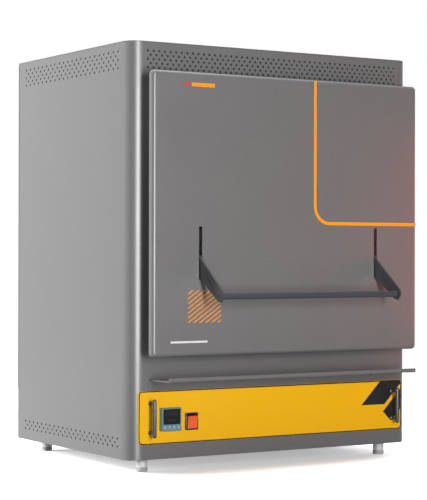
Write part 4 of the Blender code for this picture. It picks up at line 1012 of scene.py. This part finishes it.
def door_skin():
    """A deep-drawn cover with rolled edges and a slot over each lever."""
    a, b = low("door_cover"), high("door_cover")
    bend, corner = 8 * MM, 9 * MM
    lever = middle("lever_right").x
    slot = reach("door_cover", 2,
                 lambda co: abs(co.x - lever) < 5 * MM and a.z + 20 * MM < co.z < b.z - 20 * MM)
    slots = [rounded((side * lever - 4 * MM, slot[0]), (side * lever + 4 * MM, slot[1]), 1.5 * MM, 3)
             for side in (-1, 1)]
    steps = [(bend + 2 * MM, a.y)]
    steps += [(bend * (1 - sin(radians(t))), a.y + bend * (1 - cos(radians(t)))) for t in range(0, 91, 10)]
    steps += [(0, b.y - 0.3 * MM), (0.3 * MM, b.y), (SHEET - 0.3 * MM, b.y), (SHEET, b.y - 0.3 * MM),
              (SHEET, a.y + bend), (SHEET + 1.5 * MM, a.y + 4 * MM), (bend, a.y + SHEET),
              (bend + 2 * MM, a.y + SHEET)]
    rings = [ring_at(a, b, inset, y, max(corner - inset, 1.2 * MM)) for inset, y in steps]
    piece("door_skin", pressed(rings, slots), BODY, "door", "door_cover", "body_paint", angle=40)
    door_print(a, b)


def film(name, outlines, finish, body, level, holes=()):
    """Printed or stuck-on film, just proud of the face that it lies on."""
    parts = [slab("XZ", outline, level - SKIN, level - 0.02 * MM, holes) for outline in outlines]
    piece(name, joined(parts), finish, body, angle=60)


def door_print(a, b):
    """The plain line that turns along the door, a hatched patch, and three plain marks."""
    level = a.y
    x, z = a.x + 401 * MM, a.z + 276 * MM
    bend = STRIPE_BEND
    line = [(x, b.z - 2.5 * MM), (x, z + bend)] + arc((x + bend, z + bend), bend, 180, 270, 16)[1:-1]
    line += [(x + bend, z), (b.x - 2.5 * MM, z)]
    film("door_line", [ribbon(line, STRIPE / 2)], ORANGE_INK, "door", level)
    hatch = []
    left, right = a.x + 84 * MM, a.x + 164 * MM
    foot, head = a.z + 69 * MM, a.z + 136 * MM
    slope = 0.675
    for i in range(17):
        rise = foot - 50 * MM + i * 9.75 * MM
        corners = clipped(left, right, foot, head, rise, slope, 2.7 * MM)
        if corners:
            hatch.append(corners)
    film("door_hatching", hatch, ORANGE_INK, "door", level)
    mark = (a.x + 92 * MM, b.z - 26 * MM)
    film("door_badge_bar", [rounded((mark[0], mark[1] - 4 * MM), (mark[0] + 56 * MM, mark[1] + 4 * MM),
                                    2 * MM)],
         ORANGE_INK, "door", level)
    film("door_badge_dot", [circle((mark[0] - 12 * MM, mark[1]), 5 * MM)], RED_INK, "door", level)
    plain = (a.x + 43 * MM, a.z + 30 * MM)
    film("door_plain_bar", [rounded((plain[0], plain[1] - 2 * MM), (plain[0] + 88 * MM, plain[1] + 2 * MM),
                                    1 * MM)],
         WHITE_INK, "door", level)


def clipped(left, right, foot, head, rise, slope, thick):
    """The part of a sloping line that lies in a box, as an outline; rise is its height at the box's left."""
    def within(lift):
        start, end = left, right
        level_start = rise + lift
        level_end = level_start + slope * (right - left)
        if level_end <= foot or level_start >= head:
            return None
        if level_start < foot:
            start = left + (foot - level_start) / slope
        if level_end > head:
            end = left + (head - level_start) / slope
        return (start, level_start + slope * (start - left)), (end, level_start + slope * (end - left))
    under, over = within(0), within(thick)
    if not under or not over:
        return None
    corners = [under[0], under[1]]
    if under[1][1] < over[1][1] - 1e-6 or over[1][0] < under[1][0] - 1e-6:
        corners.append(over[1])
    corners.append(over[0])
    return corners


def door_lining():
    """Plug and seal: pressed fibre board, with a braided rope round the mouth."""
    a, b = low("door_plug"), high("door_plug")
    mouth, chamber = b.x, low("insulation_right").x
    flare = b.y - (mouth - chamber)
    steps = [(0, a.y), (0, a.y + 0.4 * MM), (0, flare)]
    steps += [(mouth - chamber - 1.2 * MM, b.y - 1.2 * MM), (mouth - chamber + 1.5 * MM, b.y)]
    rings = [ring_at(a, b, inset, y, 2.5 * MM, 4) for inset, y in steps]
    piece("plug_block", lofted(rings), FIBRE, "door", "door_plug", "fibre_board", edge=0.8 * MM)
    a, b = low("door_seal"), high("door_seal")
    wide, thick = 12 * MM, b.y - a.y
    level = (a.y + b.y) / 2
    centre_line = rounded((a.x + wide / 2, a.z + wide / 2), (b.x - wide / 2, b.z - wide / 2), 12 * MM, 8)
    section = [(thick / 2 * cos(t) * 0.98, wide / 2 * sin(t) * 0.98)
               for t in [2 * pi * i / 18 for i in range(18)]]
    section = [(v, u) for u, v in section]
    rope = swept([(x, level, z) for x, z in centre_line], section, closed=True)
    piece("seal_rope", rope, ROPE, "door", "door_seal", "fibre_board", angle=60)


# ---- control drawer ---------------------------------------------------------------------------
def panel():
    """The drawer's front: sheet with an amber coat, a dark ring of painted shade along its edge for the gap
    round it, and plain diagonal bars at its right.
    """
    a, b = low("drawer_front"), high("drawer_front")
    corner = 9 * MM
    meter, switch = middle("controller_body"), middle("rocker_frame")
    cuts = [rounded((spot.x - wide, spot.z - tall), (spot.x + wide, spot.z + tall), 1 * MM, 3)
            for spot, wide, tall in ((meter, METER_HOLE, METER_HOLE), (switch, *SWITCH_HOLE))]
    sheet = slab("XZ", rounded((a.x, a.z), (b.x, b.z), corner, 8), a.y, b.y, cuts)
    piece("panel_sheet", sheet, AMBER, "drawer", "drawer_front", "panel_paint", edge=0.5 * MM, rounds=3)
    ring_out = rounded((a.x + 0.4 * MM, a.z + 0.4 * MM), (b.x - 0.4 * MM, b.z - 0.4 * MM),
                       corner - 0.4 * MM, 8)
    inset = EDGE_SHADE + 0.4 * MM
    ring_in = rounded((a.x + inset, a.z + inset), (b.x - inset, b.z - inset), corner - inset, 8)
    # painted shade: black ring along the panel's edge that stands in for the shadow of the gap round it
    film("panel_edge_shade", [ring_out], BLACK_INK, "drawer", a.y, [ring_in])
    right, top = b.x - inset, b.z - inset
    foot = a.z + 57 * MM
    near, far = b.x - 111 * MM, b.x - 47 * MM
    first = [(near, foot), (far, foot), (right, foot + right - far), (right, top), (near + top - foot, top)]
    start, end = b.x - 29 * MM, b.x - 51 * MM
    second = [(start, a.z + 19 * MM), (right, a.z + 19 * MM + right - start),
              (right, a.z + 41 * MM + right - end), (end, a.z + 41 * MM)]
    film("panel_bars", [first, second], BLACK_INK, "drawer", a.y)


def drawer_grips():
    for side in ("left", "right"):
        a, b = low(f"drawer_handle_{side}"), high(f"drawer_handle_{side}")
        radius = (b.x - a.x) / 2
        centre = ((a.x + b.x) / 2, a.y + radius)
        ends = [(radius * sin(radians(t)), radius * (1 - cos(radians(t)))) for t in (0, 20, 40, 60, 75, 90)]
        profile = [(r, a.z + rise) for r, rise in ends] + [(r, b.z - rise) for r, rise in ends[::-1]]
        piece(f"grip_bar_{side}", turned("Z", (*centre, 0), profile, 28), SLATE, "drawer",
              f"drawer_handle_{side}", "handle_paint", angle=50)
        face = low("drawer_front").y
        studs = []
        for z in ((a.z + b.z) / 2 - 30 * MM, (a.z + b.z) / 2 + 30 * MM):
            spot = (centre[0], 0, z)
            studs.append(rod("Y", spot, 2.5 * MM, centre[1], face - 0.1 * MM, 0.2 * MM, 20))
            studs.append(turned("Y", spot, [(2.5 * MM, face - 2.2 * MM), (4.2 * MM, face - 1.2 * MM),
                                            (4.2 * MM, face - 0.2 * MM), (2.5 * MM, face - 0.2 * MM)], 24,
                                            True))
        piece(f"grip_studs_{side}", joined(studs), SLATE, "drawer")


def controller():
    """Panel controller: a bezel round a smoked window, with four keys below it, and its case behind."""
    a, b = low("controller_body"), high("controller_body")
    glass_a, glass_b = low("controller_window"), high("controller_window")
    face = low("drawer_front").y - 0.3 * MM
    keys = [middle(f"controller_button_{i}") for i in (1, 2, 3, 4)]
    holes = [rounded((glass_a.x - 0.4 * MM, glass_a.z - 0.4 * MM),
                     (glass_b.x + 0.4 * MM, glass_b.z + 0.4 * MM),
                     0.8 * MM, 4)] + [circle((k.x, k.z), 3.0 * MM, 24) for k in keys]
    steps = [(2.2 * MM, a.y), (1.4 * MM, a.y + 0.15 * MM), (0.3 * MM, a.y + 1.6 * MM), (0, a.y + 2.4 * MM),
             (0, face)]
    rings = [ring_at(a, b, inset, y, max(2.4 * MM - inset, 0.6 * MM), 5) for inset, y in steps]
    rings += [ring_at(a, b, 3 * MM, face, 0.6 * MM, 5), ring_at(a, b, 3.5 * MM, a.y + 3.6 * MM, 0.6 * MM, 5)]
    bezel = pressed(rings, holes)
    box = slab("XZ", rounded((a.x + 1.6 * MM, a.z + 1.6 * MM), (b.x - 1.6 * MM, b.z - 1.6 * MM), 1 * MM, 3),
               a.y + 3.5 * MM, b.y)
    piece("controller_case", joined([bezel, box]), BEZEL, "drawer", "controller_body", "meter_plastic",
          edge=0.25 * MM, angle=40)
    pane = slab("XZ", rounded((glass_a.x, glass_a.z), (glass_b.x, glass_b.z), 0.6 * MM, 4), a.y + 1.0 * MM,
                a.y + 2.4 * MM)
    piece("controller_glass", pane, GLASS, "drawer", "controller_window", "window_plastic", edge=0.2 * MM)
    numerals(glass_a, glass_b, a.y + 1.0 * MM)
    for i, key in enumerate(keys):
        name = f"controller_button_{i + 1}"
        start, end = low(name).y, high(name).y
        radius = half(name).x
        cap = [(0, start + 0.25 * MM), (radius * 0.6, start + 0.1 * MM), (radius * 0.9, start + 0.25 * MM),
               (radius, start + 0.8 * MM), (radius, end), (0, end)]
        piece(f"key_cap_{i + 1}", turned("Y", (key.x, 0, key.z), cap, 24), KEYS, f"button_{i + 1}", name,
              "key_plastic")
    clip = rounded((b.x - 0.3 * MM, a.z + 20 * MM), (b.x + 2.2 * MM, a.z + 29 * MM), 1 * MM, 4)
    piece("controller_clip", slab("XZ", clip, face - 3.2 * MM, face), BLACK, "drawer", edge=0.3 * MM)


def numerals(a, b, level):
    """Two rows of unlit seven-bar numerals behind the window."""
    bars = []
    for row, (tall, lift) in enumerate(((10 * MM, 17 * MM), (6.5 * MM, 5 * MM))):
        wide, thick = tall * 0.5, tall * 0.10
        pitch = tall * 0.78
        left = (a.x + b.x) / 2 - 1.5 * pitch - wide / 2
        for i in range(4):
            x, z = left + i * pitch, a.z + lift
            for level_share in (0, 0.5, 1):
                mid = z + tall * level_share
                bars.append(slab("XZ", [(x + thick, mid - thick / 2), (x + wide - thick, mid - thick / 2),
                                        (x + wide - thick, mid + thick / 2), (x + thick, mid + thick / 2)],
                                 level - 0.06 * MM, level))
            for side in (0, wide):
                for start in (0, 0.5):
                    foot = z + tall * start + thick * 0.8
                    head = z + tall * (start + 0.5) - thick * 0.8
                    bars.append(slab("XZ", [(x + side - thick / 2, foot), (x + side + thick / 2, foot),
                                            (x + side + thick / 2, head), (x + side - thick / 2, head)],
                                     level - 0.06 * MM, level))
    piece("unlit_numerals", joined(bars), DIM, "drawer")


def rocker_switch():
    a, b = low("rocker_frame"), high("rocker_frame")
    hole_a, hole_b = (middle("rocker_frame").x - 12 * MM, middle("rocker_frame").z - 15.2 * MM), \
        (middle("rocker_frame").x + 12 * MM, middle("rocker_frame").z + 15.2 * MM)
    hole = rounded(hole_a, hole_b, 0.8 * MM, 4)
    face = low("drawer_front").y - 0.3 * MM
    steps = [(2.0 * MM, a.y), (0.8 * MM, a.y + 0.3 * MM), (0, a.y + 1.2 * MM), (0, face), (1.8 * MM, face),
             (1.8 * MM, b.y)]
    rings = [ring_at(a, b, inset, y, max(2 * MM - inset, 0.8 * MM), 5) for inset, y in steps]
    piece("switch_frame", pressed(rings, [hole]), BLACK, "drawer", "rocker_frame", "black_plastic",
          edge=0.25 * MM, angle=40)
    pivot = joint_at("power_rocker")
    wide = half("rocker").x
    c, s = cos(radians(7)), sin(radians(7))
    shape = [(-12.5 - 1.5 * t ** 2, 13 * t) for t in [i / 8 for i in range(-8, 9)]]
    shape = [(y * MM, z * MM) for y, z in shape] + [(-6 * MM, 13 * MM), (-2 * MM, 9.7 * MM),
                                                    (-2 * MM, -9.7 * MM), (-6 * MM, -13 * MM)]
    tilted = [(pivot.y + y * c - z * s, pivot.z + y * s + z * c) for y, z in shape]
    key = slab("YZ", tilted, pivot.x - wide, pivot.x + wide)
    piece("rocker_key", key, ORANGE, "rocker", "rocker", "orange_plastic", edge=0.5 * MM, rounds=3, angle=35)


def power_parts():
    """Inside the drawer: a laminated transformer with its windings, and a finned power controller."""
    a, b = low("transformer"), high("transformer")
    centre = middle("transformer")
    count = 18
    pitch = (b.y - a.y - 34 * MM) / count
    sheets = []
    for i in range(count):
        y = a.y + 17 * MM + i * pitch
        sheets.append(slab("XZ", rounded((a.x, a.z), (b.x, b.z), 1.5 * MM, 2), y, y + pitch * 0.86))
    core = slab("XZ", rounded((a.x + 1 * MM, a.z + 0.8 * MM), (b.x - 1 * MM, b.z - 1 * MM), 1.5 * MM, 2),
                a.y + 17 * MM, b.y - 17 * MM)
    piece("transformer_core", joined([core] + sheets), IRON, "drawer", "transformer", "cast_iron")
    coils = []
    for i in range(13):
        inset = (0.8 if i % 2 else 0) * MM
        z = a.z + 13 * MM + i * 2.9 * MM
        loop = rounded((centre.x - 30 * MM + inset, a.y + inset), (centre.x + 30 * MM - inset, b.y - inset),
                       14 * MM, 6)
        coils.append(slab("XY", loop, z, z + 2.7 * MM))
    piece("transformer_windings", joined(coils), COPPER, "drawer", edge=0.8 * MM)
    a, b = low("power_controller"), high("power_controller")
    fins = [slab("XY", rounded((a.x, a.y), (b.x, b.y), 2 * MM, 3), a.z, a.z + 7 * MM)]
    for i in range(12):
        x = a.x + 1.5 * MM + i * (b.x - a.x - 5 * MM) / 11
        fins.append(slab("YZ", [(a.y, a.z + 6 * MM), (b.y, a.z + 6 * MM), (b.y, a.z + 34 * MM),
                                (a.y, a.z + 34 * MM)],
                         x, x + 2 * MM))
    piece("heat_sink", joined(fins), ALUMINIUM, "drawer", "power_controller", "aluminium", edge=0.3 * MM)
    lid = slab("XY", rounded((a.x + 12 * MM, a.y + 14 * MM), (b.x - 12 * MM, b.y - 14 * MM), 3 * MM, 4),
               a.z + 34.2 * MM, b.z)
    piece("control_module", lid, BLACK, "drawer", edge=1.2 * MM, rounds=3)


# ---- floor, light and camera ------------------------------------------------------------------
def backdrop():
    """Matt white sheet, which throws back only a little light."""
    material, tree, shader, place = surface("white_backdrop", "#ffffff", 0.9, 0.0)
    seen = add(tree, "LightPath").outputs["Is Camera Ray"]
    fibres = add(tree, "TexNoise", {"Vector": place, "Scale": 1 / (2 * MM), "Detail": 2.0})
    tone = add(tree, "Mix", {0: fibres.outputs["Fac"], 6: linear("#fbfbfb"), 7: linear("#ffffff")},
               data_type="RGBA")
    mix = add(tree, "Mix", {0: seen, 6: linear("#8c8c8c"), 7: tone.outputs[2]}, data_type="RGBA")
    tree.links.new(mix.outputs[2], shader.inputs["Base Color"])
    shader.inputs["Specular IOR Level"].default_value = 0.0
    shader.inputs["Emission Color"].default_value = linear("#ffffff")
    glow = add(tree, "MapRange", {"Value": seen, "To Min": 0.0, "To Max": 0.4})
    tree.links.new(glow.outputs[0], shader.inputs["Emission Strength"])
    return material


def studio():
    ground = bmesh.new()
    size = 2.0
    corners = [ground.verts.new(p) for p in ((-size, -size, 0), (size, -size, 0), (size, size, 0),
                                             (-size, size, 0))]
    ground.faces.new(corners)
    mesh = bpy.data.meshes.new("floor")
    ground.to_mesh(mesh)
    ground.free()
    mesh.materials.append(FLOOR)
    floor = bpy.data.objects.new("floor", mesh)
    bpy.context.scene.collection.objects.link(floor)
    floor.location.z = CAD_BOX[0].z - 0.5 * MM
    world = bpy.data.worlds.new("studio")
    bpy.context.scene.world = world
    world.use_nodes = True
    tree = world.node_tree
    seen = add(tree, "LightPath").outputs["Is Camera Ray"]
    share = add(tree, "MapRange", {"Value": seen, "To Min": FILL, "To Max": 1.0}).outputs[0]
    tree.links.new(share, tree.nodes["Background"].inputs["Strength"])
    tree.nodes["Background"].inputs["Color"].default_value = (1, 1, 1, 1)
    softbox("left", (-3.1, 2.0, 1.0), (-0.36, 0.1, 0.55), (1.6, 1.6), 318.0, glossy=False)
    softbox("above", (0.0, 0.2, 3.6), (0, 0, 0), (3.0, 3.0), 165.0)
    softbox("front", (-0.73, -3.65, 0.55), (-0.1, -0.2, 0.45), (0.3, 1.8), 96.0)
    softbox("edge_strip", (-1.0, -3.7, 0.5), (-0.33, -0.2, 0.45), (0.7, 2.4), 260.0, diffuse=False)
    softbox("red_glow", (0.66, -0.42, 0.50), (0.34, -0.26, 0.50), (0.1, 0.5), 0.28, "#ff3a20", 70)
    softbox("right", (3.2, 0.7, 1.2), (0.36, 0.1, 0.5), (1.6, 1.6), 120.0, glossy=False)


def softbox(name, place, target, size, power, colour="#ffffff", spread=180, diffuse=True, glossy=True):
    data = bpy.data.lights.new(name, "AREA")
    data.energy, data.color = power, linear(colour)[:3]
    data.shape = "RECTANGLE"
    data.size, data.size_y = size
    data.spread = radians(spread)
    lamp = bpy.data.objects.new(name, data)
    bpy.context.scene.collection.objects.link(lamp)
    lamp.location = place
    lamp.rotation_euler = (Vector(target) - Vector(place)).to_track_quat("-Z", "Y").to_euler()
    lamp.visible_diffuse, lamp.visible_glossy = diffuse, glossy


def camera():
    data = bpy.data.cameras.new("camera")
    data.lens, data.sensor_width = 122.9, 36.0
    data.sensor_fit = "AUTO"
    item = bpy.data.objects.new("camera", data)
    bpy.context.scene.collection.objects.link(item)
    item.location = (-2.0461, FRONT - 3.0476, 0.4504)
    item.rotation_euler = (radians(90.144), radians(-0.114), radians(-31.786))
    bpy.context.scene.camera = item


DIM = moulded_plastic("unlit_numeral_film", "#3d3336", "#463a3d", 0.3)
FLOOR = backdrop()

for make in (casing_front, casing_sides, vent_shade_sheets, casing_top, casing_rear, feet, shelf, inner_parts,
             heating_elements,
             rear_fittings, fan, mains_inlet, levers, links, door_skin, door_lining, panel, drawer_grips,
             controller, rocker_switch, power_parts, studio, camera):
    make()
bpy.context.scene.view_settings.view_transform = "Standard"
